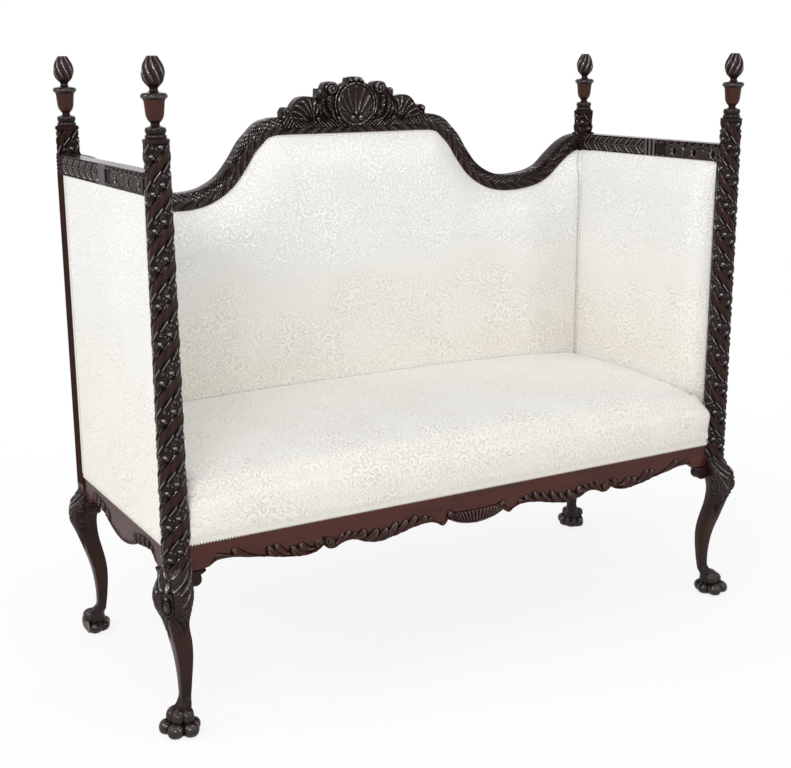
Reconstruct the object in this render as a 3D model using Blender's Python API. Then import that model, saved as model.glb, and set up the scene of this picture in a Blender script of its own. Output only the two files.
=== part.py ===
# A carved mahogany settee: four posts on cabriole legs with paw feet, a serpentine
# back rail under a shell crest, shaped seat rails, and stuffed seat, back and sides.
# Metres, +Z up. The front faces -Y, and the origin is on the floor in the middle.

import math
import bpy
import bmesh
import numpy as np
from mathutils import Vector

for old in list(bpy.data.objects):
    bpy.data.objects.remove(old, do_unlink=True)

# Clearances
FIT_GAP = 0.0003             # between pieces that touch, and round every tenon
CUT_OVERRUN = 0.006          # how far a cutter runs past the face that it opens
FLATNESS = 0.00001           # a four-sided face twisted more than this is split

# Where the four posts stand
POST_SPACING = 1.325         # left post axis to right post axis
POST_DEPTH = 0.523           # front post axis to back post axis

# Shaft of a post
SHAFT_BASE = 0.335           # the shaft starts here, above the knee
SHAFT_TOP = 1.112
SHAFT_BASE_RADIUS = 0.0270
SHAFT_TOP_RADIUS = 0.0235
SPIRAL_STARTS = 2
SPIRAL_PITCH = 0.0664        # height from one spiral band to the next
GROOVE_DEPTH = 0.0045
COLLAR_HEIGHT = 0.007        # plain band at the top of the shaft
BACK_POST_WIDTH = 0.042      # the back posts are square below the top rails
SECTION_POINTS = 18
RINGS_PER_BAND = 4

# Cabriole leg and paw foot
KNEE_REACH = 0.0175          # how far the knee's middle swings out
KNEE_HALF = 0.0355           # half the knee's thickness along the diagonal
FOOT_HEIGHT = 0.0580
FOOT_RADIUS = 0.0370
TOE_DEPTH = 0.0050           # depth of the clefts between the toes
BACK_FOOT_FLAT = 0.0250      # the back feet are sawn flat this far outside the post axis
BACK_FOOT_FLAT_HEIGHT = 0.0280

# Height, swing outwards and half thickness of the leg, from ankle to shaft
LEG_SHARES = (
    (0.191, -0.63, 0.375), (0.239, -0.74, 0.394), (0.299, -0.80, 0.439),
    (0.364, -0.80, 0.504), (0.439, -0.69, 0.580), (0.510, -0.40, 0.648),
    (0.582, 0.03, 0.704), (0.657, 0.49, 0.741), (0.725, 0.80, 0.803),
    (0.788, 1.00, 0.901), (0.851, 0.89, 1.000), (0.901, 0.60, 0.972),
    (0.949, 0.26, 0.845))
# Height, swing, radius and cleft depth of the foot, from the floor to the ankle
FOOT_SHARES = (
    (0.00, 0.22, 0.78, 0.5), (0.09, 0.19, 0.93, 0.8), (0.23, 0.16, 1.00, 1.0),
    (0.39, 0.14, 0.86, 0.8), (0.51, 0.12, 0.72, 0.6), (0.65, 0.12, 0.70, 0.7),
    (0.80, 0.03, 0.57, 0.4), (0.94, -0.19, 0.42, 0.1))

# Finials: a turned urn under a twisted flame bud
FINIAL_HEIGHT = 0.138
FINIAL_RADIUS = 0.0235       # at the urn's rim
FLAME_TWIST = 1.3            # radians over the whole bud
FINIAL_DOWEL_RADIUS = 0.0060
FINIAL_DOWEL_LENGTH = 0.0220
FINIAL_POINTS = 12
# Height, radius and depth of the flame flutes, from the post to the tip
FINIAL_SHARES = (
    (0.000, 0.79, 0), (0.050, 0.79, 0), (0.065, 0.69, 0), (0.085, 0.76, 0),
    (0.132, 0.72, 0), (0.150, 0.34, 0), (0.190, 0.33, 0), (0.240, 0.58, 0),
    (0.320, 0.71, 0), (0.465, 0.76, 0), (0.495, 0.97, 0), (0.545, 0.95, 0),
    (0.570, 0.36, 0), (0.615, 0.31, 0), (0.655, 0.55, 0.04), (0.730, 0.82, 0.08),
    (0.810, 0.88, 0.09), (0.900, 0.72, 0.10), (0.965, 0.50, 0.10), (1.000, 0.41, 0.06))

# Seat rails
SEAT_RAIL_TOP = 0.430
SEAT_RAIL_THICKNESS = 0.028
FRONT_RAIL_FACE = 0.0040     # the apron's face stands this far before the post axes
SIDE_RAIL_FACE = 0.0170      # the side rails' faces stand this far outside them
SIDE_FRAME_THICKNESS = 0.027
BACK_RAIL_BACK = 0.0140      # the back frame's rear face lies this far behind the axes
BACK_RAIL_BOTTOM = 0.318
RAIL_SHOULDER = 0.0205       # rails stop this far from the post axes
CARVED_BAND_HEIGHT = 0.020   # the band of leaves along an apron's lower edge
CARVED_BAND_DEPTH = 0.004
RAIL_END_BOTTOM = 0.318      # underside of a seat rail where the ear block sits
APRON_DROP = 0.0375          # lowest to highest point of an apron's lower edge
APRON_LOW = 0.2975
# Distance from the middle (of half the clear span) and height (of the drop)
FRONT_APRON_SHARES = (
    (0.000, 0.00), (0.039, 0.08), (0.080, 0.26), (0.113, 0.50), (0.131, 0.19),
    (0.152, 0.38), (0.185, 0.53), (0.225, 0.52), (0.275, 0.38), (0.330, 0.17),
    (0.382, 0.07), (0.425, 0.22), (0.455, 0.42), (0.487, 0.48), (0.520, 0.30),
    (0.535, 0.20), (0.560, 0.30), (0.575, 0.49), (0.602, 0.26), (0.645, 0.17),
    (0.690, 0.22), (0.750, 0.44), (0.825, 0.70), (0.890, 0.88), (0.935, 0.84),
    (0.962, 0.56))
SIDE_APRON_SHARES = (
    (0.00, 0.15), (0.11, 0.16), (0.22, 0.27), (0.30, 0.54), (0.43, 0.60),
    (0.53, 0.75), (0.68, 1.00), (0.86, 1.02), (0.95, 0.66))

# Tenons
TENON_THICKNESS = 0.0100
TENON_LENGTH = 0.0190
TENON_HEIGHT = 0.0420        # on the seat rails
TENON_STEP = 0.0040          # between a tenon and the next one, or a rail's edge
SMALL_TENON_HEIGHT = 0.0130  # on the top rails and the tacking rails
BRACE_TENON_LENGTH = 0.0080

# Ear blocks, glued beside the knees under the rails' ends
EAR_REACH = 0.0560           # from the post axis to the tip
EAR_DROP = 0.0300
EAR_PROUD = 0.0050
EAR_THICKNESS = 0.0300
# Distance from the shoulder to the tip, and drop below the rail
EAR_SHARES = (
    (0.00, 0.00), (1.00, 0.00), (1.02, 0.14), (0.88, 0.34), (0.93, 0.58),
    (0.86, 0.82), (0.70, 0.93), (0.52, 0.84), (0.40, 0.66), (0.22, 0.72),
    (0.00, 1.00))

# Top rails
TOP_RAIL_HEIGHT = 0.0400
SIDE_TOP = 1.0545            # top of the side rails and of the back rail at the posts
SIDE_TOP_OUTER = 0.0200      # faces of a side top rail, from the post axes
SIDE_TOP_INNER = 0.0130
BACK_TOP_FRONT = 0.0100      # faces of the back top rail, from the post axes
BACK_TOP_BACK = 0.0220
TONGUE_HEIGHT = 0.0120       # the ledge below a top rail that the covers are tacked to
BEAD = 0.0040                # bevels that soften the top rails' carved faces
CREST_RISE = 0.0620          # from the back rail's ends up to its middle
BACK_DIP = 0.0920            # from its ends down to its lowest point
# Distance from the middle (of half the post spacing) and height (of rise or dip)
SERPENTINE_SHARES = (
    (0.000, 1.00), (0.150, 1.00), (0.275, 1.00), (0.300, 0.99), (0.325, 0.945),
    (0.347, 0.847), (0.372, 0.61), (0.398, 0.315))
SERPENTINE_DIP_SHARES = (
    (0.433, -0.158), (0.451, -0.33), (0.469, -0.489), (0.489, -0.62), (0.509, -0.723),
    (0.531, -0.815), (0.554, -0.89), (0.605, -0.98), (0.657, -1.00), (0.715, -0.965),
    (0.767, -0.886), (0.809, -0.745), (0.856, -0.46), (0.903, -0.19), (0.938, -0.06),
    (0.970, 0.00))

# Crest: a shell between leaf scrolls
CREST_HALF_WIDTH = 0.1850
CREST_HEIGHT = 0.0860        # above the flat of the back rail
CREST_FOOT = 0.0240          # how far the crest laps down over the rail's face
CREST_THICKNESS = 0.0200
CREST_RELIEF = 0.0120
SHELL_RADIUS = 0.0460
SHELL_RIBS = 9
SHELL_FLOOR_SHARE = 0.35     # depth of the shell between its ribs, and what they add
SHELL_RIB_SHARE = 0.45
RIM_PLACE_SHARE = 1.15       # the shell's rim, in shell radii, and its half width
RIM_WIDTH_SHARE = 0.20
LEAF_DEPTH_SHARE = 0.90
GROUND_DEPTH_SHARE = 0.15
SHELL_CENTRE_SHARE = 0.25    # height of the shell's centre on the crest
CREST_COLUMNS = 44
CREST_ROWS = 7
# Distance from the middle (of half the width) and height (of the crest)
CREST_SHARES = (
    (0.00, 1.00), (0.08, 0.97), (0.12, 0.87), (0.17, 0.81), (0.22, 0.76),
    (0.27, 0.85), (0.34, 0.875), (0.41, 0.82), (0.45, 0.70), (0.50, 0.67),
    (0.53, 0.50), (0.64, 0.51), (0.74, 0.43), (0.83, 0.26), (0.87, 0.18),
    (0.92, 0.24), (0.98, 0.21), (1.00, 0.06))
LEAF_SHARES = ((0.34, 0.72, 0.13), (0.62, 0.26, 0.20), (0.90, 0.10, 0.12))

# Inner frame
TACKING_RAIL_CLEAR = 0.010   # from the seat rails up to the tacking rails and the pads
TACKING_RAIL_HEIGHT = 0.035
UPRIGHT_WIDTH = 0.040
BACK_FRAME_THICKNESS = 0.019
CORNER_BLOCK_REACH = 0.090
CORNER_BLOCK_CLEAR = 0.024   # the block's inner corner is cut back round the post
CORNER_BLOCK_HEIGHT = 0.045
BRACE_WIDTH = 0.040
BRACE_HEIGHT = 0.030
BRACE_BOTTOM = 0.325

# Webbing, springs and hessian
WEBBING_WIDTH = 0.050
WEBBING_THICKNESS = 0.002
WEBBING_TURN_UP = 0.014
WEBS_ALONG = 3
WEBS_ACROSS = 7
SPRING_COLUMNS = 4
SPRING_ROWS = 2
SPRING_SPACING = 0.300
SPRING_ROW_SPACING = 0.210
SPRING_END_RADIUS = 0.038
SPRING_WAIST_RADIUS = 0.026
SPRING_WIRE_RADIUS = 0.0019
SPRING_TURNS = 3
SPRING_STEPS = 8             # points in each turn
HESSIAN_THICKNESS = 0.0012
HESSIAN_EDGE = 0.008         # from the hessian's edge to the rails' outer faces
HESSIAN_NOTCH = 0.034        # its corners are notched this far from the post axes

# Stuffing and covers
COVER_THICKNESS = 0.0012
COVER_LAP = 0.0510           # the front and outside covers reach this far down the rails
GIMP_HEIGHT = 0.0120
GIMP_THICKNESS = 0.0018
SIDE_PAD_THICKNESS = 0.0320
BACK_PAD_THICKNESS = 0.0430
PAD_EDGE_THICKNESS = 0.0045
PAD_ROLL = 0.065             # how far in from a top edge a pad reaches full thickness
PAD_CLEAR_OF_POST = 0.0278   # from a front post's axis to the pads behind it
OUTER_CLEAR_OF_POST = 0.0215 # the same for the outside covers, beside the shaft
SEAT_FRONT_HALF_GAP = 0.0278 # the seat's front stops this far from the post axes
SEAT_CLEAR = 0.0022          # between the seat's stuffing and the side and back covers
SEAT_CROWN_RISE = 0.0900     # from the seat rails up to the seat's top in the middle
SEAT_END_DROP = 0.0260       # how far the seat falls away at its ends
SEAT_COLUMNS = 13
# Depth (of the whole seat) and height (from the lower edge to the crown)
SEAT_TOP_SHARES = (
    (0.012, 0.72), (0.040, 0.81), (0.090, 0.875), (0.180, 0.93), (0.320, 0.975),
    (0.520, 1.00), (0.740, 1.00), (0.990, 0.975))
SEAT_FRONT_BULGE = 0.0180    # how far the seat rolls out past the apron's face
# Bulge and height of the front roll
SEAT_ROLL_SHARES = (
    (0.15, 0.00), (0.45, 0.13), (0.82, 0.30), (1.00, 0.46), (0.88, 0.58))
# Where the pads' points lie: down the roll, below it, and from front to back
BACK_ROLL_SHARES = (0.0, 0.12, 0.40, 1.0)
BACK_FALL_SHARES = (0.5, 1.0)
SIDE_ROLL_SHARES = (0.0, 0.10, 0.25, 0.55, 1.0)
SIDE_FALL_SHARES = (0.4, 0.75, 1.0)
SIDE_PLACE_SHARES = (0.0, 0.04, 0.10, 0.25, 0.45, 0.65, 0.80, 0.90, 1.0)


# Plain geometry

def add_object(name, bm, material, smooth=True):
    bmesh.ops.recalc_face_normals(bm, faces=bm.faces)
    mesh = bpy.data.meshes.new(name)
    bm.to_mesh(mesh)
    bm.free()
    if smooth:
        mesh.shade_smooth()
        mesh.set_sharp_from_angle(angle=math.radians(35))
    mesh.materials.append(material)
    piece = bpy.data.objects.new(name, mesh)
    bpy.context.scene.collection.objects.link(piece)
    return piece


def make_material(name, colour, roughness):
    material = bpy.data.materials.new(name)
    material.use_nodes = True
    shader = material.node_tree.nodes["Principled BSDF"]
    shader.inputs["Base Color"].default_value = (*colour, 1.0)
    shader.inputs["Roughness"].default_value = roughness
    shader.inputs["Metallic"].default_value = 0.0
    return material


def loft(rings):
    """Skin closed rings of equal count, from first to last, and cap both ends."""
    bm = bmesh.new()
    verts = [[bm.verts.new(point) for point in ring] for ring in rings]
    count = len(rings[0])
    for lower, upper in zip(verts, verts[1:]):
        for i in range(count):
            j = (i + 1) % count
            fill_quad(bm, lower[i], lower[j], upper[j], upper[i])
    bm.faces.new(list(reversed(verts[0])))
    bm.faces.new(verts[-1])
    return bm


def fill_quad(bm, a, b, c, d):
    """One flat face, or two triangles along the shorter diagonal of a twisted one."""
    lean = (b.co - a.co).cross(c.co - a.co).normalized()
    if abs((d.co - a.co).dot(lean)) < FLATNESS:
        bm.faces.new((a, b, c, d))
    elif (a.co - c.co).length < (b.co - d.co).length:
        bm.faces.new((a, b, c))
        bm.faces.new((a, c, d))
    else:
        bm.faces.new((a, b, d))
        bm.faces.new((b, c, d))


def box(low, high):
    (x0, y0, z0), (x1, y1, z1) = low, high
    lower = [(x0, y0, z0), (x1, y0, z0), (x1, y1, z0), (x0, y1, z0)]
    upper = [(x, y, z1) for x, y, z in lower]
    return loft([lower, upper])


def plate(outline, axis, low, high):
    """Carry a flat outline from low to high along one axis (0, 1 or 2)."""
    def place(point, level):
        values = list(point)
        values.insert(axis, level)
        return tuple(values)
    return loft([[place(p, low) for p in outline], [place(p, high) for p in outline]])


def cut(piece, low, high, number):
    """Cut a box out of a piece."""
    cutter = add_object(f"{piece.name}_cutter_{number}", box(low, high), WOOD, smooth=False)
    use_boolean(piece, cutter, "DIFFERENCE")


def join(piece, low, high, number):
    """Add a box to a piece, such as a tenon."""
    added = add_object(f"{piece.name}_tenon_{number}", box(low, high), WOOD, smooth=False)
    use_boolean(piece, added, "UNION")


def use_boolean(piece, other, operation):
    modifier = piece.modifiers.new(other.name, "BOOLEAN")
    modifier.operation = operation
    modifier.object = other
    modifier.solver = "EXACT"
    other.hide_render = True
    other.display_type = "WIRE"


def grown(low, high, gap):
    """A box larger by the gap all round."""
    return tuple(v - gap for v in low), tuple(v + gap for v in high)


def ordered(a, b):
    """Two opposite corners of a box, put as its lowest and highest."""
    return tuple(map(min, a, b)), tuple(map(max, a, b))


def height_on(points, along):
    """Height of an open outline at a place along it."""
    return float(np.interp(along, [p[0] for p in points], [p[1] for p in points]))


# Materials

WOOD = make_material("mahogany", (0.060, 0.020, 0.013), 0.28)
HIDDEN_WOOD = make_material("beech_frame", (0.42, 0.27, 0.15), 0.6)
FABRIC = make_material("ivory_damask", (0.83, 0.79, 0.69), 0.7)
BRAID = make_material("cream_braid", (0.80, 0.73, 0.58), 0.8)
STUFFING = make_material("stuffing", (0.62, 0.56, 0.45), 0.95)
HESSIAN = make_material("hessian", (0.46, 0.35, 0.21), 0.95)
JUTE = make_material("jute_webbing", (0.50, 0.39, 0.24), 0.9)
STEEL = make_material("spring_steel", (0.35, 0.33, 0.30), 0.4)

SIDES = (("left", -1), ("right", 1))
HALF_SPACING = POST_SPACING / 2
HALF_DEPTH = POST_DEPTH / 2
FRONT_FACE = -HALF_DEPTH - FRONT_RAIL_FACE
FRONT_INNER = FRONT_FACE + SEAT_RAIL_THICKNESS
BACK_REAR = HALF_DEPTH + BACK_RAIL_BACK
BACK_INNER = BACK_REAR - SEAT_RAIL_THICKNESS
BACK_FRAME_FRONT = BACK_REAR - BACK_FRAME_THICKNESS
SIDE_OUTER = HALF_SPACING + SIDE_RAIL_FACE
SIDE_INNER = SIDE_OUTER - SIDE_FRAME_THICKNESS
SHOULDER_X = HALF_SPACING - RAIL_SHOULDER
SHOULDER_Y = HALF_DEPTH - RAIL_SHOULDER
SIDE_TOP_BOTTOM = SIDE_TOP - TOP_RAIL_HEIGHT
SEAT_EDGE_BOTTOM = SEAT_RAIL_TOP - COVER_LAP
TACKING_RAIL_BOTTOM = SEAT_RAIL_TOP + TACKING_RAIL_CLEAR
PAD_BOTTOM = TACKING_RAIL_BOTTOM
SEAT_CROWN = SEAT_RAIL_TOP + SEAT_CROWN_RISE
UPPER_TENON_BOTTOM = SEAT_RAIL_TOP - TENON_STEP - TENON_HEIGHT
LOWER_TENON_BOTTOM = UPPER_TENON_BOTTOM - TENON_STEP - TENON_HEIGHT


# Posts with their legs

def post_frame(side, facing):
    """A post's axis, its outward diagonal, and the diagonal across that one."""
    axis = Vector((side * HALF_SPACING, facing * HALF_DEPTH, 0))
    outward = Vector((side, facing, 0)).normalized()
    across = Vector((side * facing, -1, 0)).normalized()
    return axis, outward, across


def ring(frame, height, swing, radii, turn=0.0, angles=None):
    """One closed section of a post, its points given by angle from the outward side."""
    axis, outward, across = frame
    if angles is None:
        angles = [math.tau * i / SECTION_POINTS for i in range(SECTION_POINTS)]
    points = []
    for angle, radius in zip(angles, radii):
        turned = angle + turn
        points.append(axis + outward * (swing + radius * math.cos(turned))
                      + across * (radius * math.sin(turned)) + Vector((0, 0, height)))
    return points


def foot_radii(radius, cleft):
    """A paw seen from above: four toes to the front, a round heel behind."""
    radii = []
    for i in range(SECTION_POINTS):
        angle = 360 * i / SECTION_POINTS
        from_front = min(angle, 360 - angle)
        toe = abs(math.cos(math.radians((from_front - 20) * 4.5)))
        if from_front > 90:
            toe = 1 - 0.3 * toe
        spread = 1 + 0.07 * math.sin(math.radians(min(from_front, 90))) ** 2
        radii.append(radius * spread - cleft * (1 - toe))
    return radii


def leg_radii(half, softness):
    """A square with soft corners, one corner pointing outwards."""
    radii = []
    for i in range(SECTION_POINTS):
        angle = math.tau * i / SECTION_POINTS
        total = abs(math.cos(angle)) ** softness + abs(math.sin(angle)) ** softness
        radii.append(half / total ** (1 / softness))
    return radii


def shaft_radii(radius, groove):
    """Round lobes with a sharp groove between neighbours."""
    per_lobe = SECTION_POINTS // SPIRAL_STARTS
    radii = []
    for i in range(SECTION_POINTS):
        bulge = math.sin(math.pi * (i % per_lobe) / per_lobe)
        radii.append(radius - groove * (1 - bulge) ** 1.5)
    return radii


def leg_rings(frame):
    rings = []
    for height, swing, radius, cleft in FOOT_SHARES:
        radii = foot_radii(FOOT_RADIUS * radius, TOE_DEPTH * cleft)
        rings.append(ring(frame, FOOT_HEIGHT * height, FOOT_RADIUS * swing, radii))
    for height, swing, half in LEG_SHARES:
        radii = leg_radii(KNEE_HALF * half, 1.45)
        rings.append(ring(frame, SHAFT_BASE * height, KNEE_REACH * swing, radii))
    return rings


def spiral_rings(frame, bottom, top):
    """The twisted shaft: each ring turns on a little from the one below."""
    bands = (top - bottom) / SPIRAL_PITCH
    count = max(RINGS_PER_BAND, round(bands * RINGS_PER_BAND))
    turn_per_height = math.tau / (SPIRAL_STARTS * SPIRAL_PITCH)
    rings = []
    for k in range(count + 1):
        height = bottom + (top - bottom) * k / count
        share = (height - SHAFT_BASE) / (SHAFT_TOP - SHAFT_BASE)
        radius = SHAFT_BASE_RADIUS + (SHAFT_TOP_RADIUS - SHAFT_BASE_RADIUS) * share
        turn = (height - bottom) * turn_per_height
        rings.append(ring(frame, height, 0, shaft_radii(radius, GROOVE_DEPTH), turn))
    last = (top - bottom) * turn_per_height
    plain = [SHAFT_TOP_RADIUS] * SECTION_POINTS
    rings.append(ring(frame, top + COLLAR_HEIGHT / 4, 0, plain, last))
    rings.append(ring(frame, top + COLLAR_HEIGHT, 0, plain, last))
    return rings


def square_rings(frame, bottom, top):
    """The plain square part of a back post, its faces along X and Y."""
    angles = [math.tau * i / SECTION_POINTS for i in range(SECTION_POINTS)]
    quarter = math.pi / 2
    for i, angle in enumerate(angles):
        for corner in (quarter, 3 * quarter):
            if abs(angle - corner) < math.radians(12):
                angles[i] = corner + (angle - corner) * 0.3
    corner_radius = BACK_POST_WIDTH / math.sqrt(2)
    radii = [corner_radius / (abs(math.cos(a)) + abs(math.sin(a))) for a in angles]
    return [ring(frame, z, 0, radii, angles=angles) for z in (bottom, top)]


def make_post(name, side, facing):
    frame = post_frame(side, facing)
    rings = leg_rings(frame)
    spiral_top = SHAFT_TOP - COLLAR_HEIGHT
    if facing < 0:
        rings += spiral_rings(frame, SHAFT_BASE, spiral_top)
    else:
        square_top = SIDE_TOP + COLLAR_HEIGHT / 2
        rings += square_rings(frame, SHAFT_BASE, square_top)
        rings += spiral_rings(frame, square_top + FIT_GAP, spiral_top)
    post = add_object(name, loft(rings), WOOD)
    cut_post(post, side, facing)
    return post


def rail_ends(side, facing):
    """Boxes (low, high) of every rail end and tenon that a post takes."""
    boxes = seat_rail_ends(side, facing) + side_top_ends(side, facing)
    if facing > 0:
        boxes += back_frame_ends(side)
    return boxes + side_tacking_ends(side, facing)


def end_places(side, facing):
    """Where rails end past the post, at their shoulders and at their tenons, on X and Y."""
    return [(sign * (shoulder - 2 * CUT_OVERRUN), sign * shoulder,
             sign * (shoulder + TENON_LENGTH))
            for sign, shoulder in ((side, SHOULDER_X), (facing, SHOULDER_Y))]


def seat_rail_ends(side, facing):
    (past_x, shoulder_x, end_x), (past_y, shoulder_y, end_y) = end_places(side, facing)
    across_x = (side * SIDE_INNER, side * SIDE_OUTER)
    across_y = (FRONT_FACE, FRONT_INNER) if facing < 0 else (BACK_INNER, BACK_REAR)
    bottom = RAIL_END_BOTTOM if facing < 0 else BACK_RAIL_BOTTOM
    return [((past_x, across_y[0], bottom), (shoulder_x, across_y[1], SEAT_RAIL_TOP)),
            ((across_x[0], past_y, RAIL_END_BOTTOM), (across_x[1], shoulder_y, SEAT_RAIL_TOP)),
            front_tenon(across_y, shoulder_x, end_x, UPPER_TENON_BOTTOM, TENON_HEIGHT),
            side_tenon(across_x, shoulder_y, end_y, LOWER_TENON_BOTTOM, TENON_HEIGHT)]


def side_top_ends(side, facing):
    past_y, shoulder_y, end_y = end_places(side, facing)[1]
    top_x = (side * (HALF_SPACING - SIDE_TOP_INNER), side * (HALF_SPACING + SIDE_TOP_OUTER))
    beyond_x = top_x[1] + side * CUT_OVERRUN
    ledge = SIDE_TOP_BOTTOM - TONGUE_HEIGHT
    return [((top_x[0], past_y, SIDE_TOP_BOTTOM), (beyond_x, shoulder_y, SIDE_TOP)),
            ((side * SIDE_INNER, past_y, ledge), (side * SIDE_OUTER, shoulder_y, SIDE_TOP_BOTTOM)),
            side_tenon(top_x, shoulder_y, end_y, side_top_tenon_bottom(), SMALL_TENON_HEIGHT)]


def back_frame_ends(side):
    past_x, shoulder_x, end_x = end_places(side, 1)[0]
    front = HALF_DEPTH - BACK_TOP_FRONT
    back = HALF_DEPTH + BACK_TOP_BACK
    frame_y = (BACK_FRAME_FRONT, BACK_REAR)
    ledge = SIDE_TOP_BOTTOM - TONGUE_HEIGHT
    return [((past_x, front, SIDE_TOP_BOTTOM), (shoulder_x, back + CUT_OVERRUN, SIDE_TOP)),
            ((past_x, frame_y[0], ledge), (shoulder_x, frame_y[1], SIDE_TOP_BOTTOM)),
            front_tenon((front, back), shoulder_x, end_x, back_top_tenon_bottom(),
                        SMALL_TENON_HEIGHT),
            front_tenon(frame_y, shoulder_x, end_x, tacking_tenon_bottom(),
                        SMALL_TENON_HEIGHT),
            ((past_x, frame_y[0], TACKING_RAIL_BOTTOM),
             (shoulder_x, frame_y[1], tacking_top()))]


def side_tacking_ends(side, facing):
    past_y, shoulder_y, end_y = end_places(side, facing)[1]
    across_x = (side * SIDE_INNER, side * SIDE_OUTER)
    return [side_tenon(across_x, shoulder_y, end_y, side_tacking_tenon_bottom(),
                       SMALL_TENON_HEIGHT),
            ((across_x[0], past_y, TACKING_RAIL_BOTTOM),
             (across_x[1], shoulder_y, tacking_top()))]


def side_top_tenon_bottom():
    return SIDE_TOP_BOTTOM + TENON_STEP


def back_top_tenon_bottom():
    return side_top_tenon_bottom() + SMALL_TENON_HEIGHT + TENON_STEP


def side_tacking_tenon_bottom():
    return TACKING_RAIL_BOTTOM + TENON_STEP


def tacking_tenon_bottom():
    return side_tacking_tenon_bottom() + SMALL_TENON_HEIGHT + TENON_STEP / 2


def front_tenon(across, shoulder, end, bottom, height):
    """A tenon that runs along X."""
    middle = (across[0] + across[1]) / 2
    half = TENON_THICKNESS / 2
    return (shoulder, middle - half, bottom), (end, middle + half, bottom + height)


def side_tenon(across, shoulder, end, bottom, height):
    """A tenon that runs along Y."""
    middle = (across[0] + across[1]) / 2
    half = TENON_THICKNESS / 2
    return (middle - half, shoulder, bottom), (middle + half, end, bottom + height)


def cut_post(post, side, facing):
    """Open the post for its rails, tenons, ear blocks and finial, and saw the back foot."""
    for number, (a, b) in enumerate(rail_ends(side, facing)):
        cut(post, *grown(*ordered(a, b), FIT_GAP), number)
    for number, (low, high) in enumerate(ear_boxes(side, facing)):
        cut(post, *grown(low, high, FIT_GAP), f"ear_{number}")
    bore = FINIAL_DOWEL_RADIUS + FIT_GAP
    depth = FINIAL_DOWEL_LENGTH + FIT_GAP
    rings = [turned_ring(side * HALF_SPACING, facing * HALF_DEPTH, z, bore, 0)
             for z in (SHAFT_TOP - depth, SHAFT_TOP + CUT_OVERRUN)]
    use_boolean(post, add_object(post.name + "_bore", loft(rings), WOOD), "DIFFERENCE")
    if facing > 0:
        flat = side * (HALF_SPACING + BACK_FOOT_FLAT)
        beyond = flat + side * FOOT_RADIUS
        back = HALF_DEPTH + BACK_FOOT_FLAT + FOOT_RADIUS
        front = HALF_DEPTH - BACK_FOOT_FLAT - FOOT_RADIUS
        cut(post, *ordered((flat, front, -CUT_OVERRUN), (beyond, back, BACK_FOOT_FLAT_HEIGHT)),
            "foot")


# Finials

def turned_ring(x, y, z, radius, flute, turn=0.0):
    points = []
    for i in range(FINIAL_POINTS):
        angle = math.tau * i / FINIAL_POINTS + turn
        reach = radius * (1 - flute * (i % 2))
        points.append((x + reach * math.cos(angle), y + reach * math.sin(angle), z))
    return points


def make_finial(name, side, facing):
    """An urn and a flame bud, turned and carved in one piece on a dowel."""
    x = side * HALF_SPACING
    y = facing * HALF_DEPTH
    base = SHAFT_TOP + FIT_GAP
    rings = [turned_ring(x, y, SHAFT_TOP - FINIAL_DOWEL_LENGTH, FINIAL_DOWEL_RADIUS, 0),
             turned_ring(x, y, base, FINIAL_DOWEL_RADIUS, 0)]
    flame = next(height for height, _, flute in FINIAL_SHARES if flute)
    for height, radius, flute in FINIAL_SHARES:
        twist = -side * FLAME_TWIST * max(0, height - flame) / (1 - flame)
        rings.append(turned_ring(x, y, base + FINIAL_HEIGHT * height,
                                 FINIAL_RADIUS * radius, flute, twist))
    return add_object(name, loft(rings), WOOD)


# Seat rails

def apron_edge(shares, half_span):
    """Right half of an apron's lower edge, from the middle to the ear block."""
    return [(half_span * a, APRON_LOW + APRON_DROP * b) for a, b in shares]


def apron_stations(shares, half_span, end):
    """Places along a rail and the underside's height at each, end to end."""
    half = apron_edge(shares, half_span)
    half.append((half_span * (shares[-1][0] + 1) / 2 - FIT_GAP, RAIL_END_BOTTOM))
    half.append((end, RAIL_END_BOTTOM))
    return [(-a, z) for a, z in reversed(half[1:])] + half


def apron_section(place, low, face, inner, outward):
    """Section of a rail: a carved band stands proud along the lower edge."""
    proud = face + outward * CARVED_BAND_DEPTH
    band = low + CARVED_BAND_HEIGHT
    softened = face + outward * CARVED_BAND_DEPTH / 2
    return [(place, inner, low), (place, softened, low),
            (place, proud, low + CARVED_BAND_HEIGHT / 4),
            (place, proud, low + CARVED_BAND_HEIGHT * 3 / 4),
            (place, face, band), (place, face, SEAT_RAIL_TOP), (place, inner, SEAT_RAIL_TOP)]


def make_front_rail():
    stations = apron_stations(FRONT_APRON_SHARES, SHOULDER_X, SHOULDER_X)
    rings = [apron_section(x, z, FRONT_FACE, FRONT_INNER, -1) for x, z in stations]
    rail = add_object("front_seat_rail", loft(flat_ends(rings, FRONT_FACE, -1)), WOOD)
    for name, side in SIDES:
        tenon = front_tenon((FRONT_FACE, FRONT_INNER), side * (SHOULDER_X - TENON_STEP),
                            side * (SHOULDER_X + TENON_LENGTH),
                            UPPER_TENON_BOTTOM, TENON_HEIGHT)
        join(rail, *ordered(*tenon), name)
    low, high = brace_box()
    cut(rail, *grown(low, high, FIT_GAP), "brace")
    return rail


def flat_ends(rings, face, outward):
    """Stop the carved band short of the shoulders, so that the ends seat flat."""
    for index in (0, 1, -2, -1):
        rings[index] = [(a, face, z) if outward * (b - face) > 0 else (a, b, z)
                        for a, b, z in rings[index]]
    return rings


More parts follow.
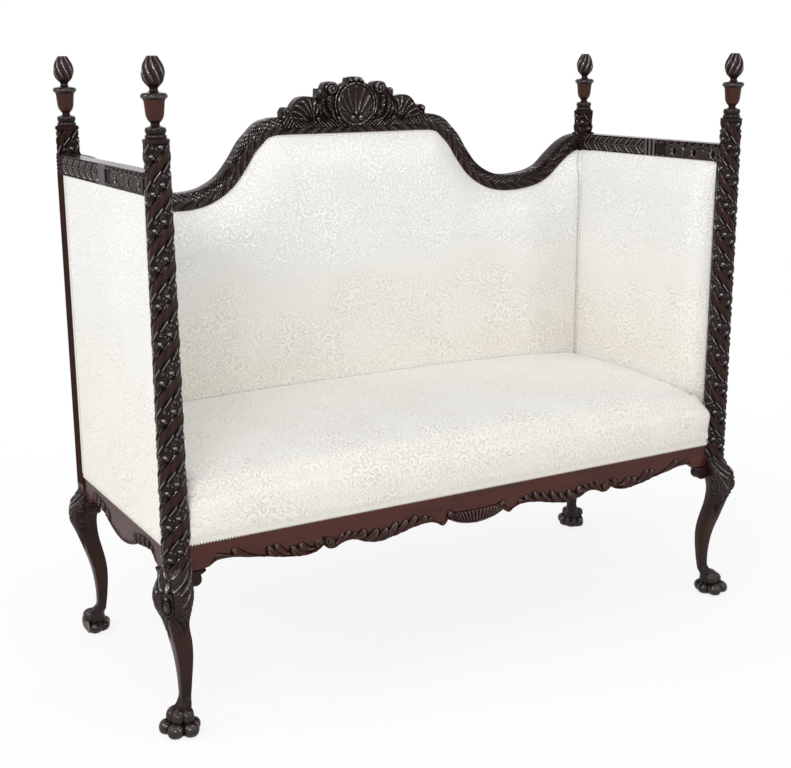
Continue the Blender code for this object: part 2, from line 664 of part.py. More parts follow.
def make_side_rail(name, side):
    face = side * SIDE_OUTER
    inner = side * SIDE_INNER
    stations = apron_stations(SIDE_APRON_SHARES, SHOULDER_Y, SHOULDER_Y)
    rings = [apron_section(y, z, face, inner, side) for y, z in stations]
    rings = flat_ends(rings, face, side)
    swapped = [[(b, a, z) for a, b, z in r] for r in rings]
    rail = add_object(name + "_seat_rail", loft(swapped), WOOD)
    for end_name, facing in (("front", -1), ("back", 1)):
        tenon = side_tenon((inner, face), facing * (SHOULDER_Y - TENON_STEP),
                           facing * (SHOULDER_Y + TENON_LENGTH),
                           LOWER_TENON_BOTTOM, TENON_HEIGHT)
        join(rail, *ordered(*tenon), end_name)
    return rail


def make_back_rail():
    low = (-SHOULDER_X, BACK_INNER, BACK_RAIL_BOTTOM)
    high = (SHOULDER_X, BACK_REAR, SEAT_RAIL_TOP)
    rail = add_object("back_seat_rail", box(low, high), HIDDEN_WOOD, smooth=False)
    for name, side in SIDES:
        tenon = front_tenon((BACK_INNER, BACK_REAR), side * (SHOULDER_X - TENON_STEP),
                            side * (SHOULDER_X + TENON_LENGTH),
                            UPPER_TENON_BOTTOM, TENON_HEIGHT)
        join(rail, *ordered(*tenon), name)
    low, high = brace_box()
    cut(rail, *grown(low, high, FIT_GAP), "brace")
    return rail


# Ear blocks

def ear_boxes(side, facing):
    """The space that each ear block beside a post fills (low, high)."""
    boxes = []
    drop = (RAIL_END_BOTTOM - FIT_GAP - EAR_DROP, RAIL_END_BOTTOM - FIT_GAP)
    tip_x = side * (HALF_SPACING - EAR_REACH)
    tip_y = facing * (HALF_DEPTH - EAR_REACH)
    if facing < 0:
        front = FRONT_FACE - EAR_PROUD
        boxes.append(ordered((tip_x, front, drop[0]),
                             (side * SHOULDER_X, front + EAR_THICKNESS, drop[1])))
    outer = side * (SIDE_OUTER + EAR_PROUD)
    boxes.append(ordered((outer - side * EAR_THICKNESS, tip_y, drop[0]),
                         (outer, facing * SHOULDER_Y, drop[1])))
    return boxes


def make_ear(name, side, facing, along_x):
    """One scrolled block: its flat end sits on the leg and its top on the rail."""
    spacing = HALF_SPACING if along_x else HALF_DEPTH
    sign = side if along_x else facing
    seat = SHOULDER_X if along_x else SHOULDER_Y
    length = seat - (spacing - EAR_REACH)
    top = RAIL_END_BOTTOM - FIT_GAP
    outline = [(sign * (seat - length * a), top - EAR_DROP * b) for a, b in EAR_SHARES]
    if along_x:
        face = FRONT_FACE - EAR_PROUD
        bm = plate(outline, 1, face, face + EAR_THICKNESS)
    else:
        face = side * (SIDE_OUTER + EAR_PROUD)
        bm = plate(outline, 0, face - side * EAR_THICKNESS, face)
    return add_object(name, bm, WOOD)


# Top rails

def serpentine():
    """Middle line of the back top rail, from its centre to the right-hand end."""
    middle = SIDE_TOP - TOP_RAIL_HEIGHT / 2
    half = [(HALF_SPACING * a, middle + CREST_RISE * b) for a, b in SERPENTINE_SHARES]
    half += [(HALF_SPACING * a, middle + BACK_DIP * b) for a, b in SERPENTINE_DIP_SHARES]
    half[-1] = (SHOULDER_X, middle)
    return [(-x, z) for x, z in reversed(half[1:])] + half


def beside_serpentine(offset):
    """The middle line moved square to itself, upwards where the offset is positive."""
    line = serpentine()
    moved = []
    for i, (x, z) in enumerate(line):
        before = line[max(i - 1, 0)]
        after = line[min(i + 1, len(line) - 1)]
        direction = Vector((after[0] - before[0], after[1] - before[1])).normalized()
        if i in (0, len(line) - 1):
            direction = Vector((1, 0))
        moved.append((x - direction.y * offset, z + direction.x * offset))
    return moved


def make_back_top_rail():
    """The serpentine rail, with a ledge below its carved face for the covers."""
    half = TOP_RAIL_HEIGHT / 2
    front = HALF_DEPTH - BACK_TOP_FRONT
    back = HALF_DEPTH + BACK_TOP_BACK
    profile = [(-half - TONGUE_HEIGHT, BACK_FRAME_FRONT), (-half, BACK_FRAME_FRONT),
               (-half, front + BEAD / 2), (-half + BEAD, front), (half - BEAD, front),
               (half, front + BEAD), (half, back), (-half, back), (-half, BACK_REAR),
               (-half - TONGUE_HEIGHT, BACK_REAR)]
    lines = [beside_serpentine(offset) for offset, _ in profile]
    rings = []
    for i in range(len(lines[0])):
        rings.append([(line[i][0], y, line[i][1]) for line, (_, y) in zip(lines, profile)])
    rail = add_object("back_top_rail", loft(rings), WOOD)
    for name, side in SIDES:
        tenon = front_tenon((front, back), side * (SHOULDER_X - TENON_STEP),
                            side * (SHOULDER_X + TENON_LENGTH),
                            back_top_tenon_bottom(), SMALL_TENON_HEIGHT)
        join(rail, *ordered(*tenon), name)
    low, high = upright_tenon(True)
    cut(rail, *grown(low, high, FIT_GAP), "upright")
    return rail


def make_side_top_rail(name, side):
    outer = side * (HALF_SPACING + SIDE_TOP_OUTER)
    inner = side * (HALF_SPACING - SIDE_TOP_INNER)
    bead = side * BEAD
    ledge_in = side * SIDE_INNER
    ledge_out = side * SIDE_OUTER
    section = [(ledge_in, SIDE_TOP_BOTTOM - TONGUE_HEIGHT), (ledge_in, SIDE_TOP_BOTTOM),
               (inner, SIDE_TOP_BOTTOM), (inner, SIDE_TOP - BEAD), (inner + bead, SIDE_TOP),
               (outer - bead, SIDE_TOP), (outer, SIDE_TOP - BEAD),
               (outer, SIDE_TOP_BOTTOM), (ledge_out, SIDE_TOP_BOTTOM),
               (ledge_out, SIDE_TOP_BOTTOM - TONGUE_HEIGHT)]
    rail = add_object(name + "_top_rail", plate(section, 1, -SHOULDER_Y, SHOULDER_Y), WOOD)
    for end_name, facing in (("front", -1), ("back", 1)):
        tenon = side_tenon((inner, outer), facing * (SHOULDER_Y - TENON_STEP),
                           facing * (SHOULDER_Y + TENON_LENGTH),
                           side_top_tenon_bottom(), SMALL_TENON_HEIGHT)
        join(rail, *ordered(*tenon), end_name)
    return rail


# Crest

def crest_top(x):
    points = [(CREST_HALF_WIDTH * a, CREST_HEIGHT * b) for a, b in CREST_SHARES]
    return crest_base() + height_on(points, abs(x))


def crest_base():
    return SIDE_TOP + CREST_RISE


def crest_relief(x, z):
    """How far the carving stands out: a ribbed round shell, its rim and leaf scrolls."""
    centre = crest_base() + CREST_HEIGHT * SHELL_CENTRE_SHARE
    away = math.hypot(x, z - centre) / SHELL_RADIUS
    angle = math.atan2(x, z - centre + SHELL_RADIUS)
    if away < 1:
        ribs = abs(math.cos(SHELL_RIBS * angle))
        depth = SHELL_FLOOR_SHARE + SHELL_RIB_SHARE * (1 - away ** 2) * ribs
        return CREST_RELIEF * depth
    rim = max(0.0, 1 - abs(away - RIM_PLACE_SHARE) / RIM_WIDTH_SHARE)
    leaves = 0.0
    for place, height, size in LEAF_SHARES:
        dx = abs(x) / CREST_HALF_WIDTH - place
        dz = (z - crest_base()) / CREST_HEIGHT - height
        leaves = max(leaves, 1 - (dx ** 2 + (dz * 0.5) ** 2) / size ** 2)
    return CREST_RELIEF * max(rim, LEAF_DEPTH_SHARE * leaves, GROUND_DEPTH_SHARE)


def make_crest():
    """A carved board: its outline and relief are worked out on a grid."""
    face = HALF_DEPTH - BACK_TOP_FRONT
    foot = crest_base() + FIT_GAP
    lap = crest_base() - CREST_FOOT
    width = CREST_HALF_WIDTH
    columns = [width * (2 * i / CREST_COLUMNS - 1) for i in range(CREST_COLUMNS + 1)]
    bm = bmesh.new()
    front_grid = []
    for x in columns:
        top = crest_top(x)
        column = []
        for row in range(CREST_ROWS + 1):
            z = foot + (top - foot) * row / CREST_ROWS
            edge = 0.0 if row == CREST_ROWS or abs(x) == width else 1.0
            y = face - FIT_GAP - CREST_RELIEF / 4 - crest_relief(x, z) * edge
            column.append((x, y, z))
        front_grid.append([(x, column[0][1], lap)] + column)
    fill_crest(bm, front_grid, columns, face, foot, lap)
    return add_object("crest", bm, WOOD)


def fill_crest(bm, front_grid, columns, face, foot, lap):
    """Skin the carved front, the flat back, and the lap that covers the rail's face."""
    back = face + CREST_THICKNESS
    front = [[bm.verts.new(p) for p in column] for column in front_grid]
    rear = []
    for x, column in zip(columns, front_grid):
        rear.append([bm.verts.new(p) for p in (
            (x, face - FIT_GAP, lap), (x, face - FIT_GAP, foot), (x, back, foot),
            (x, back, column[-1][2]))])
    for a, b in zip(range(len(front) - 1), range(1, len(front))):
        for row in range(len(front[0]) - 1):
            bm.faces.new((front[a][row], front[b][row], front[b][row + 1], front[a][row + 1]))
        for row in range(3):
            bm.faces.new((rear[a][row], rear[a][row + 1], rear[b][row + 1], rear[b][row]))
        bm.faces.new((front[a][-1], front[b][-1], rear[b][3], rear[a][3]))
        bm.faces.new((front[a][0], rear[a][0], rear[b][0], front[b][0]))
    for end in (0, -1):
        bm.faces.new(front[end] + list(reversed(rear[end])))


# Inner frame

def tacking_top():
    return TACKING_RAIL_BOTTOM + TACKING_RAIL_HEIGHT


def upright_tenon(upper):
    """The stub tenon at one end of the back's middle upright."""
    half = UPRIGHT_WIDTH / 4
    ledge = crest_base() - TOP_RAIL_HEIGHT - TONGUE_HEIGHT
    if upper:
        return (-half, BACK_FRAME_FRONT, ledge - FIT_GAP), (half, BACK_REAR, ledge + TONGUE_HEIGHT / 2)
    return ((-half, BACK_FRAME_FRONT, tacking_top() - SMALL_TENON_HEIGHT),
            (half, BACK_REAR, tacking_top() + FIT_GAP))


def make_upright():
    """A stile from the tacking rail to the top rail's ledge, tenoned at both ends."""
    half = UPRIGHT_WIDTH / 2
    low, high = upright_tenon(False)[0][2], upright_tenon(True)[1][2]
    foot = tacking_top() + FIT_GAP
    head = crest_base() - TOP_RAIL_HEIGHT - TONGUE_HEIGHT - FIT_GAP
    outline = [(-half / 2, low), (half / 2, low), (half / 2, foot), (half, foot), (half, head),
               (half / 2, head), (half / 2, high), (-half / 2, high), (-half / 2, head),
               (-half, head), (-half, foot), (-half / 2, foot)]
    return add_object("back_centre_upright", plate(outline, 1, BACK_FRAME_FRONT, BACK_REAR),
                      HIDDEN_WOOD, smooth=False)


def make_tacking_rails():
    top = tacking_top()
    rail = add_object("back_tacking_rail",
                      box((-SHOULDER_X, BACK_FRAME_FRONT, TACKING_RAIL_BOTTOM),
                          (SHOULDER_X, BACK_REAR, top)), HIDDEN_WOOD, smooth=False)
    low, high = upright_tenon(False)
    cut(rail, *grown(low, high, FIT_GAP), "upright")
    for name, side in SIDES:
        tenon = front_tenon((BACK_FRAME_FRONT, BACK_REAR), side * (SHOULDER_X - TENON_STEP),
                            side * (SHOULDER_X + TENON_LENGTH),
                            tacking_tenon_bottom(), SMALL_TENON_HEIGHT)
        join(rail, *ordered(*tenon), name)
        make_side_tacking_rail(name, side)


def make_side_tacking_rail(name, side):
    corners = ordered((side * SIDE_INNER, -SHOULDER_Y, TACKING_RAIL_BOTTOM),
                      (side * SIDE_OUTER, SHOULDER_Y, tacking_top()))
    rail = add_object(name + "_tacking_rail", box(*corners), HIDDEN_WOOD, smooth=False)
    for end_name, facing in (("front", -1), ("back", 1)):
        tenon = side_tenon((side * SIDE_INNER, side * SIDE_OUTER),
                           facing * (SHOULDER_Y - TENON_STEP),
                           facing * (SHOULDER_Y + TENON_LENGTH),
                           side_tacking_tenon_bottom(), SMALL_TENON_HEIGHT)
        join(rail, *ordered(*tenon), end_name)


def make_corner_block(name, side, facing):
    """A glued block across a corner of the seat frame, cut back round the post."""
    inner_y = FRONT_INNER if facing < 0 else BACK_INNER
    corner = (side * (SIDE_INNER - FIT_GAP), inner_y - facing * FIT_GAP)

    def place(a, b):
        return corner[0] - side * a, corner[1] - facing * b
    outline = [place(CORNER_BLOCK_CLEAR, 0), place(CORNER_BLOCK_REACH, 0),
               place(0, CORNER_BLOCK_REACH), place(0, CORNER_BLOCK_CLEAR)]
    top = SEAT_RAIL_TOP - FIT_GAP
    return add_object(name, plate(outline, 2, top - CORNER_BLOCK_HEIGHT, top),
                      HIDDEN_WOOD, smooth=False)


def brace_box():
    half = BRACE_WIDTH / 2
    return ((-half, FRONT_INNER - BRACE_TENON_LENGTH, BRACE_BOTTOM),
            (half, BACK_INNER + BRACE_TENON_LENGTH, BRACE_BOTTOM + BRACE_HEIGHT))


# Webbing, springs and hessian

def web_edges(count, half_length):
    """Where the strips start and end along one side of the net."""
    step = (2 * half_length - WEBBING_WIDTH) / (count + 1)
    edges = [-half_length]
    for i in range(1, count + 1):
        middle = -half_length + WEBBING_WIDTH / 2 + step * i
        edges += [middle - WEBBING_WIDTH / 2, middle + WEBBING_WIDTH / 2]
    return edges + [half_length]


def webbing_bottom():
    return BRACE_BOTTOM + BRACE_HEIGHT + FIT_GAP


def make_webbing():
    """Interlaced jute strips as one flat net, their ends turned up the rails."""
    wall = WEBBING_THICKNESS
    half_x = SIDE_INNER - FIT_GAP
    low_y, high_y = FRONT_INNER + FIT_GAP, BACK_INNER - FIT_GAP
    middle_y = (low_y + high_y) / 2
    xs = web_edges(WEBS_ACROSS, half_x)
    ys = [middle_y + v for v in web_edges(WEBS_ALONG, (high_y - low_y) / 2)]
    bm = bmesh.new()
    level = webbing_bottom()
    corners = {}

    def corner(i, j):
        if (i, j) not in corners:
            corners[i, j] = bm.verts.new((xs[i], ys[j], level))
        return corners[i, j]
    for i in range(len(xs) - 1):
        for j in range(len(ys) - 1):
            if i % 2 == 1 or j % 2 == 1:
                bm.faces.new((corner(i, j), corner(i + 1, j),
                              corner(i + 1, j + 1), corner(i, j + 1)))
    turn_up_ends(bm, xs, ys)
    net = add_object("seat_webbing", bm, JUTE, smooth=False)
    solid = net.modifiers.new("thickness", "SOLIDIFY")
    solid.thickness = wall
    solid.offset = -1
    solid.use_even_offset = True
    return net


def turn_up_ends(bm, xs, ys):
    """Extrude the strips' outer ends upwards."""
    def on_rim(vert, axis, values):
        return min(abs(vert.co[axis] - values[0]), abs(vert.co[axis] - values[-1])) < FIT_GAP
    ends = []
    for edge in bm.edges:
        for axis, values in ((0, xs), (1, ys)):
            if all(on_rim(v, axis, values) for v in edge.verts):
                ends.append(edge)
    made = bmesh.ops.extrude_edge_only(bm, edges=list(set(ends)))["geom"]
    for item in made:
        if isinstance(item, bmesh.types.BMVert):
            item.co.z += WEBBING_TURN_UP


def make_spring(name, x, y):
    """A waisted coil spring: one wire of four sides along a helix."""
    bottom = webbing_bottom() + WEBBING_THICKNESS + FIT_GAP + SPRING_WIRE_RADIUS
    top = SEAT_RAIL_TOP - SPRING_WIRE_RADIUS
    count = SPRING_TURNS * SPRING_STEPS
    rings = []
    for k in range(count + 1):
        share = k / count
        angle = math.tau * SPRING_TURNS * share
        waist = (2 * share - 1) ** 2
        radius = SPRING_WAIST_RADIUS + (SPRING_END_RADIUS - SPRING_WAIST_RADIUS) * waist
        level = bottom + (top - bottom) * share
        wire = SPRING_WIRE_RADIUS
        around = []
        for turn in range(4):
            out = radius + wire * math.cos(math.tau * turn / 4)
            around.append((x + out * math.cos(angle), y + out * math.sin(angle),
                           level + wire * math.sin(math.tau * turn / 4)))
        rings.append(around)
    return add_object(name, loft(rings), STEEL)


def make_springs():
    middle = (FRONT_INNER + BACK_INNER) / 2
    number = 0
    for row in range(SPRING_ROWS):
        y = middle + SPRING_ROW_SPACING * (row - (SPRING_ROWS - 1) / 2)
        for column in range(SPRING_COLUMNS):
            x = SPRING_SPACING * (column - (SPRING_COLUMNS - 1) / 2)
            number += 1
            make_spring(f"seat_spring_{number}", x, y)


def make_hessian():
    """The spring canvas, tacked on the rails' tops and notched round the posts."""
    bottom = SEAT_RAIL_TOP + FIT_GAP
    x = SIDE_OUTER - HESSIAN_EDGE
    front, back = FRONT_FACE + HESSIAN_EDGE, BACK_REAR - HESSIAN_EDGE
    notch_x = HALF_SPACING - HESSIAN_NOTCH
    notch_y = HALF_DEPTH - HESSIAN_NOTCH
    outline = [(-notch_x, front), (notch_x, front), (notch_x, -notch_y), (x, -notch_y),
               (x, notch_y), (notch_x, notch_y), (notch_x, back), (-notch_x, back),
               (-notch_x, notch_y), (-x, notch_y), (-x, -notch_y), (-notch_x, -notch_y)]
    return add_object("seat_hessian", plate(outline, 2, bottom, bottom + HESSIAN_THICKNESS),
                      HESSIAN, smooth=False)


# Stuffing and covers

def offset_grid(grid, distance):
    """Move a grid of points along its normals, but not sideways past its own border."""
    du = np.gradient(grid, axis=0)
    dv = np.gradient(grid, axis=1)
    normal = np.cross(dv, du)
    normal /= np.linalg.norm(normal, axis=2, keepdims=True)
    return grid + normal * distance


def border(rows, columns):
    """Indices round a grid's edge, in order."""
    path = [(0, j) for j in range(columns)] + [(i, columns - 1) for i in range(1, rows)]
    path += [(rows - 1, j) for j in range(columns - 2, -1, -1)]
    return path + [(i, 0) for i in range(rows - 2, 0, -1)]


def skin(bm, grid):
    verts = [[bm.verts.new(p) for p in row] for row in grid]
    for a, b in zip(verts, verts[1:]):
        for j in range(len(a) - 1):
            bm.faces.new((a[j], a[j + 1], b[j + 1], b[j]))
    return verts


def slab(outer, inner):
    """A closed body between two grids of equal size."""
    bm = bmesh.new()
    top = skin(bm, outer)
    bottom = skin(bm, inner)
    path = border(*outer.shape[:2])
    for (a, b), (c, d) in zip(path, path[1:] + path[:1]):
        bm.faces.new((top[a][b], top[c][d], bottom[c][d], bottom[a][b]))
    return bm


def pad_body(outer, flatten):
    """A closed body from a crowned grid to a flat back with one face."""
    bm = bmesh.new()
    top = skin(bm, outer)
    path = border(*outer.shape[:2])
    back = [bm.verts.new(flatten(outer[i, j])) for i, j in path]
    for k, (a, b) in enumerate(path):
        c, d = path[(k + 1) % len(path)]
        bm.faces.new((top[a][b], top[c][d], back[(k + 1) % len(path)], back[k]))
    bm.faces.new(back)
    return bm


def roll(distance, full):
    """Thickness of a pad at a distance in from its tacked edge."""
    share = min(1.0, distance / PAD_ROLL)
    return PAD_EDGE_THICKNESS + (full - PAD_EDGE_THICKNESS) * (1 - (1 - share) ** 2.2)


def back_pad_half():
    return SIDE_INNER - FIT_GAP - SIDE_PAD_THICKNESS - COVER_THICKNESS - 3 * FIT_GAP


def back_pad_grid():
    """The back's crowned face: columns follow the serpentine edge down to the seat."""
    plane = BACK_FRAME_FRONT - FIT_GAP
    edge = beside_serpentine(-TOP_RAIL_HEIGHT / 2)
    half = back_pad_half()
    places = [-half] + [x for x, _ in edge if abs(x) < half - FIT_GAP] + [half]
    grid = []
    for x in places:
        top = height_on(edge, x) - FIT_GAP - COVER_THICKNESS
        levels = [top - PAD_ROLL * d for d in BACK_ROLL_SHARES]
        levels += [levels[-1] + (PAD_BOTTOM - levels[-1]) * s for s in BACK_FALL_SHARES]
        side_pull = 1 - 0.25 * abs(x / half) ** 10
        row = [(x, plane - roll(top - z, BACK_PAD_THICKNESS) * side_pull, z) for z in levels]
        grid.append(row)
    return np.array(grid)


def side_pad_grid(side):
    """A side's crowned inner face, from behind the front post to the back frame."""
    plane = SIDE_INNER - FIT_GAP
    front = -HALF_DEPTH + PAD_CLEAR_OF_POST
    back = HALF_DEPTH - BACK_POST_WIDTH / 2 - FIT_GAP
    top = SIDE_TOP_BOTTOM - FIT_GAP - COVER_THICKNESS
    grid = []
    for share in SIDE_PLACE_SHARES:
        y = front + (back - front) * share
        row = []
        for down in SIDE_ROLL_SHARES:
            z = top - PAD_ROLL * down
            full = SIDE_PAD_THICKNESS * (1 - 0.35 * (1 - min(1, share / 0.10)) ** 2)
            row.append((side * (plane - roll(top - z, full)), y, z))
        for lower in SIDE_FALL_SHARES:
            z = top - PAD_ROLL + (PAD_BOTTOM - top + PAD_ROLL) * lower
            row.append((side * (plane - full), y, z))
        grid.append(row)
    return np.array(grid)


def make_back_stuffing():
    grid = back_pad_grid()
    plane = BACK_FRAME_FRONT - FIT_GAP
    add_object("inside_back_stuffing", pad_body(grid, lambda p: (p[0], plane, p[2])), STUFFING)
    inner = grid + np.array((0, -FIT_GAP, 0))
    outer = grid + np.array((0, -FIT_GAP - COVER_THICKNESS, 0))
    add_object("inside_back_cover", slab(outer, inner), FABRIC)


def make_side_stuffing(name, side):
    grid = side_pad_grid(side)
    plane = side * (SIDE_INNER - FIT_GAP)
    add_object(f"inside_{name}_stuffing",
               pad_body(grid, lambda p: (plane, p[1], p[2])), STUFFING)
    inner = grid + np.array((-side * FIT_GAP, 0, 0))
    outer = grid + np.array((-side * (FIT_GAP + COVER_THICKNESS), 0, 0))
    add_object(f"inside_{name}_cover", slab(outer, inner), FABRIC)


def seat_profile():
    """Front roll and crown of the seat, as depth and height, from the lower front edge."""
    face = FRONT_FACE - FIT_GAP
    rise = SEAT_CROWN - SEAT_EDGE_BOTTOM
    depth = seat_back() - face
    points = [(face - FIT_GAP - SEAT_FRONT_BULGE * a, SEAT_EDGE_BOTTOM + rise * b)
              for a, b in SEAT_ROLL_SHARES]
    points += [(face + depth * a, SEAT_EDGE_BOTTOM + rise * b) for a, b in SEAT_TOP_SHARES]
    points[-1] = (seat_back(), points[-1][1])
    return points


def seat_back():
    return BACK_FRAME_FRONT - FIT_GAP - BACK_PAD_THICKNESS - COVER_THICKNESS - SEAT_CLEAR


def seat_half_width(y):
    """The seat is wider between the front posts than between the side pads."""
    if y < -HALF_DEPTH + PAD_CLEAR_OF_POST - FIT_GAP:
        return HALF_SPACING - SEAT_FRONT_HALF_GAP
    return SIDE_INNER - FIT_GAP - SIDE_PAD_THICKNESS - COVER_THICKNESS - SEAT_CLEAR


def seat_grid():
    profile = seat_profile()
    step = -HALF_DEPTH + PAD_CLEAR_OF_POST
    rows = [p for p in profile if p[0] < step - SEAT_CLEAR]
    for y in (step - 2 * SEAT_CLEAR, step - SEAT_CLEAR):
        rows.append((y, np.interp(y, [p[0] for p in profile[5:]], [p[1] for p in profile[5:]])))
    rows += [p for p in profile[5:] if p[0] > step + SEAT_CLEAR]
    grid = []
    for number, (y, z) in enumerate(rows):
        half = seat_half_width(y)
        if number >= len([p for p in profile if p[0] < step - SEAT_CLEAR]) + 1:
            half = seat_half_width(step)
        row = []
        for i in range(SEAT_COLUMNS):
            u = math.sin(math.pi / 2 * (2 * i / (SEAT_COLUMNS - 1) - 1))
            fall = max(0.0, z - SEAT_RAIL_TOP) / SEAT_CROWN_RISE
            row.append((half * u, y, z - SEAT_END_DROP * fall * abs(u) ** 3.5))
        grid.append(row)
    return np.array(grid)


def make_seat():
    """Stuffing over the hessian and down the apron's face, and the cover over it."""
    grid = seat_grid()
    bm = bmesh.new()
    top = skin(bm, grid)
    columns = grid.shape[1]
    floor = SEAT_RAIL_TOP + HESSIAN_THICKNESS + 2 * FIT_GAP
    lip = FRONT_FACE - FIT_GAP
    under = []
    for j in range(columns):
        x = grid[0, j, 0]
        under.append([bm.verts.new((x, lip, grid[0, j, 2])), bm.verts.new((x, lip, floor))])
    base = [[bm.verts.new((grid[i, j, 0], grid[i, j, 1], floor)) for j in range(columns)]
            for i in base_rows(grid, lip)]
    close_seat(bm, top, under, base, base_rows(grid, lip))
    add_object("seat_stuffing", bm, STUFFING)
    lift = offset_grid(grid, FIT_GAP)
    outer = offset_grid(grid, FIT_GAP + COVER_THICKNESS)
    for shell in (lift, outer):
        shell[:, 0, 0] = grid[:, 0, 0]
        shell[:, -1, 0] = grid[:, -1, 0]
        shell[-1, :, 1] = grid[-1, :, 1]
    add_object("seat_cover", slab(outer, lift), FABRIC)


def base_rows(grid, lip):
    return [i for i in range(grid.shape[0]) if grid[i, 0, 1] > lip + FIT_GAP]


def close_seat(bm, top, under, base, rows):
    """Join the crowned top to the flat underside, the lip and the two ends."""
    columns = len(top[0])
    for j in range(columns - 1):
        bm.faces.new((top[0][j], top[0][j + 1], under[j + 1][0], under[j][0]))
        bm.faces.new((under[j][0], under[j + 1][0], under[j + 1][1], under[j][1]))
        bm.faces.new((under[j][1], under[j + 1][1], base[0][j + 1], base[0][j]))
        bm.faces.new((base[-1][j], base[-1][j + 1], top[-1][j + 1], top[-1][j]))
        for a, b in zip(base, base[1:]):
            bm.faces.new((a[j], a[j + 1], b[j + 1], b[j]))
    for j in (0, -1):
        front = [top[i][j] for i in range(rows[0] + 1)]
        bm.faces.new(front + [base[0][j], under[j][1], under[j][0]])
        for k, (a, b) in enumerate(zip(base, base[1:])):
            bm.faces.new((a[j], b[j], top[rows[k + 1]][j], top[rows[k]][j]))


def make_outside_covers():
    """Flat covers over the outsides of the frame, between the posts."""
    for name, side in SIDES:
        x = side * (SIDE_OUTER + FIT_GAP)
        far = x + side * COVER_THICKNESS
        front = -HALF_DEPTH + OUTER_CLEAR_OF_POST
        back = HALF_DEPTH - BACK_POST_WIDTH / 2 - FIT_GAP
        corners = ordered((x, front, SEAT_EDGE_BOTTOM), (far, back, SIDE_TOP_BOTTOM - FIT_GAP))
        add_object(f"outside_{name}_cover", box(*corners), FABRIC, smooth=False)
    half = HALF_SPACING - BACK_POST_WIDTH / 2 - FIT_GAP
    edge = [(x, z - FIT_GAP) for x, z in beside_serpentine(-TOP_RAIL_HEIGHT / 2)]
    outline = [(-half, SEAT_EDGE_BOTTOM), (half, SEAT_EDGE_BOTTOM), (half, height_on(edge, half))]
    outline += [p for p in reversed(edge) if abs(p[0]) < half - FIT_GAP]
    outline.append((-half, height_on(edge, -half)))
    y = BACK_REAR + FIT_GAP
    add_object("outside_back_cover", plate(outline, 1, y, y + COVER_THICKNESS), FABRIC, smooth=False)


def make_gimps():
    """Braid along the lower edges of the covers, on the rails' faces."""
    top = SEAT_EDGE_BOTTOM - FIT_GAP
    low = top - GIMP_HEIGHT
    half = HALF_SPACING - SEAT_FRONT_HALF_GAP
    front = FRONT_FACE - FIT_GAP
    add_object("front_gimp", box((-half, front - GIMP_THICKNESS, low), (half, front, top)),
               BRAID, smooth=False)
    half = HALF_SPACING - BACK_POST_WIDTH / 2 - FIT_GAP
    back = BACK_REAR + FIT_GAP
    add_object("back_gimp", box((-half, back, low), (half, back + GIMP_THICKNESS, top)),
               BRAID, smooth=False)
    for name, side in SIDES:
        x = side * (SIDE_OUTER + FIT_GAP)
        corners = ordered((x, -HALF_DEPTH + OUTER_CLEAR_OF_POST, low),
                          (x + side * GIMP_THICKNESS,
                           HALF_DEPTH - BACK_POST_WIDTH / 2 - FIT_GAP, top))
        add_object(name + "_gimp", box(*corners), BRAID, smooth=False)


def build():
    for facing_name, facing in (("front", -1), ("back", 1)):
        for name, side in SIDES:
            make_post(f"{facing_name}_{name}_post", side, facing)
            make_finial(f"{facing_name}_{name}_finial", side, facing)
            make_ear(f"{facing_name}_{name}_side_ear", side, facing, False)
            make_corner_block(f"{facing_name}_{name}_corner_block", side, facing)
    make_front_rail()
    make_back_rail()
    make_back_top_rail()
    make_crest()
    for name, side in SIDES:
        make_ear(f"front_{name}_apron_ear", side, -1, True)
        make_side_rail(name, side)
        make_side_top_rail(name, side)
        make_side_stuffing(name, side)
    make_tacking_rails()
    make_upright()
    low, high = brace_box()
    add_object("seat_brace", box(low, high), HIDDEN_WOOD, smooth=False)
    make_webbing()
    make_springs()
    make_hessian()
    make_seat()
    make_back_stuffing()
    make_outside_covers()
    make_gimps()


build()
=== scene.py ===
import bpy
import bmesh
import math
import numpy as np
from mathutils import Matrix, Vector


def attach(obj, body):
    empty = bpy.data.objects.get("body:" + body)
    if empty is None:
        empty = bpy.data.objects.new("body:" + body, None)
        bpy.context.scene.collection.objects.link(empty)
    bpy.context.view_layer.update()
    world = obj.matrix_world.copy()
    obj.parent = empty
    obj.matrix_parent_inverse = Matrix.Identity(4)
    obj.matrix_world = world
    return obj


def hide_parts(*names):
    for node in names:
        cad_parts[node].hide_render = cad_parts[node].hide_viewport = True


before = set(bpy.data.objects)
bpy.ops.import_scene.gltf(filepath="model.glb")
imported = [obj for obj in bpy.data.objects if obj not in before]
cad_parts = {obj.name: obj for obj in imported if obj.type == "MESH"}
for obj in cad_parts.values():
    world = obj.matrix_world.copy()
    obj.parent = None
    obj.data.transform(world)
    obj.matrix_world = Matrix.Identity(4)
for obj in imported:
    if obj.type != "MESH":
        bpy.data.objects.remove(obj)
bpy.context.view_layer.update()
pi = math.pi
sides = ((-1, "left"), (1, "right"))
corners = [(side, facing, f"{end}_{sideName}") for side, sideName in sides
           for facing, end in ((-1, "front"), (1, "back"))]
# cavity paints shade into the hollows and dulls them, crown raises the coat on ridges to paint glints there,
# plain marks the redder smooth wood
markNames = ("cavity", "plain", "crown")        # what the woods read from each vertex


def ease(low, high, x):
    # 0 below low, 1 above high, and a smooth S between them
    t = np.clip((x - low) / (high - low), 0, 1)
    return t * t * (3 - 2 * t)


def ridge(x, half, power=0.5):
    # a round-topped ridge: (1 - distance squared) to a power, distance counted in halves of its width
    return np.clip(1 - (x / half) ** 2, 0, 1) ** power


def bell(x, wide):
    # a bump: e to the minus distance squared, the distance counted in widths
    return np.exp(-(x / wide) ** 2)


def reeds(x, power=0.8):
    # a row of round-topped reeds, one in each unit of x
    return np.abs(np.sin(pi * x)) ** power


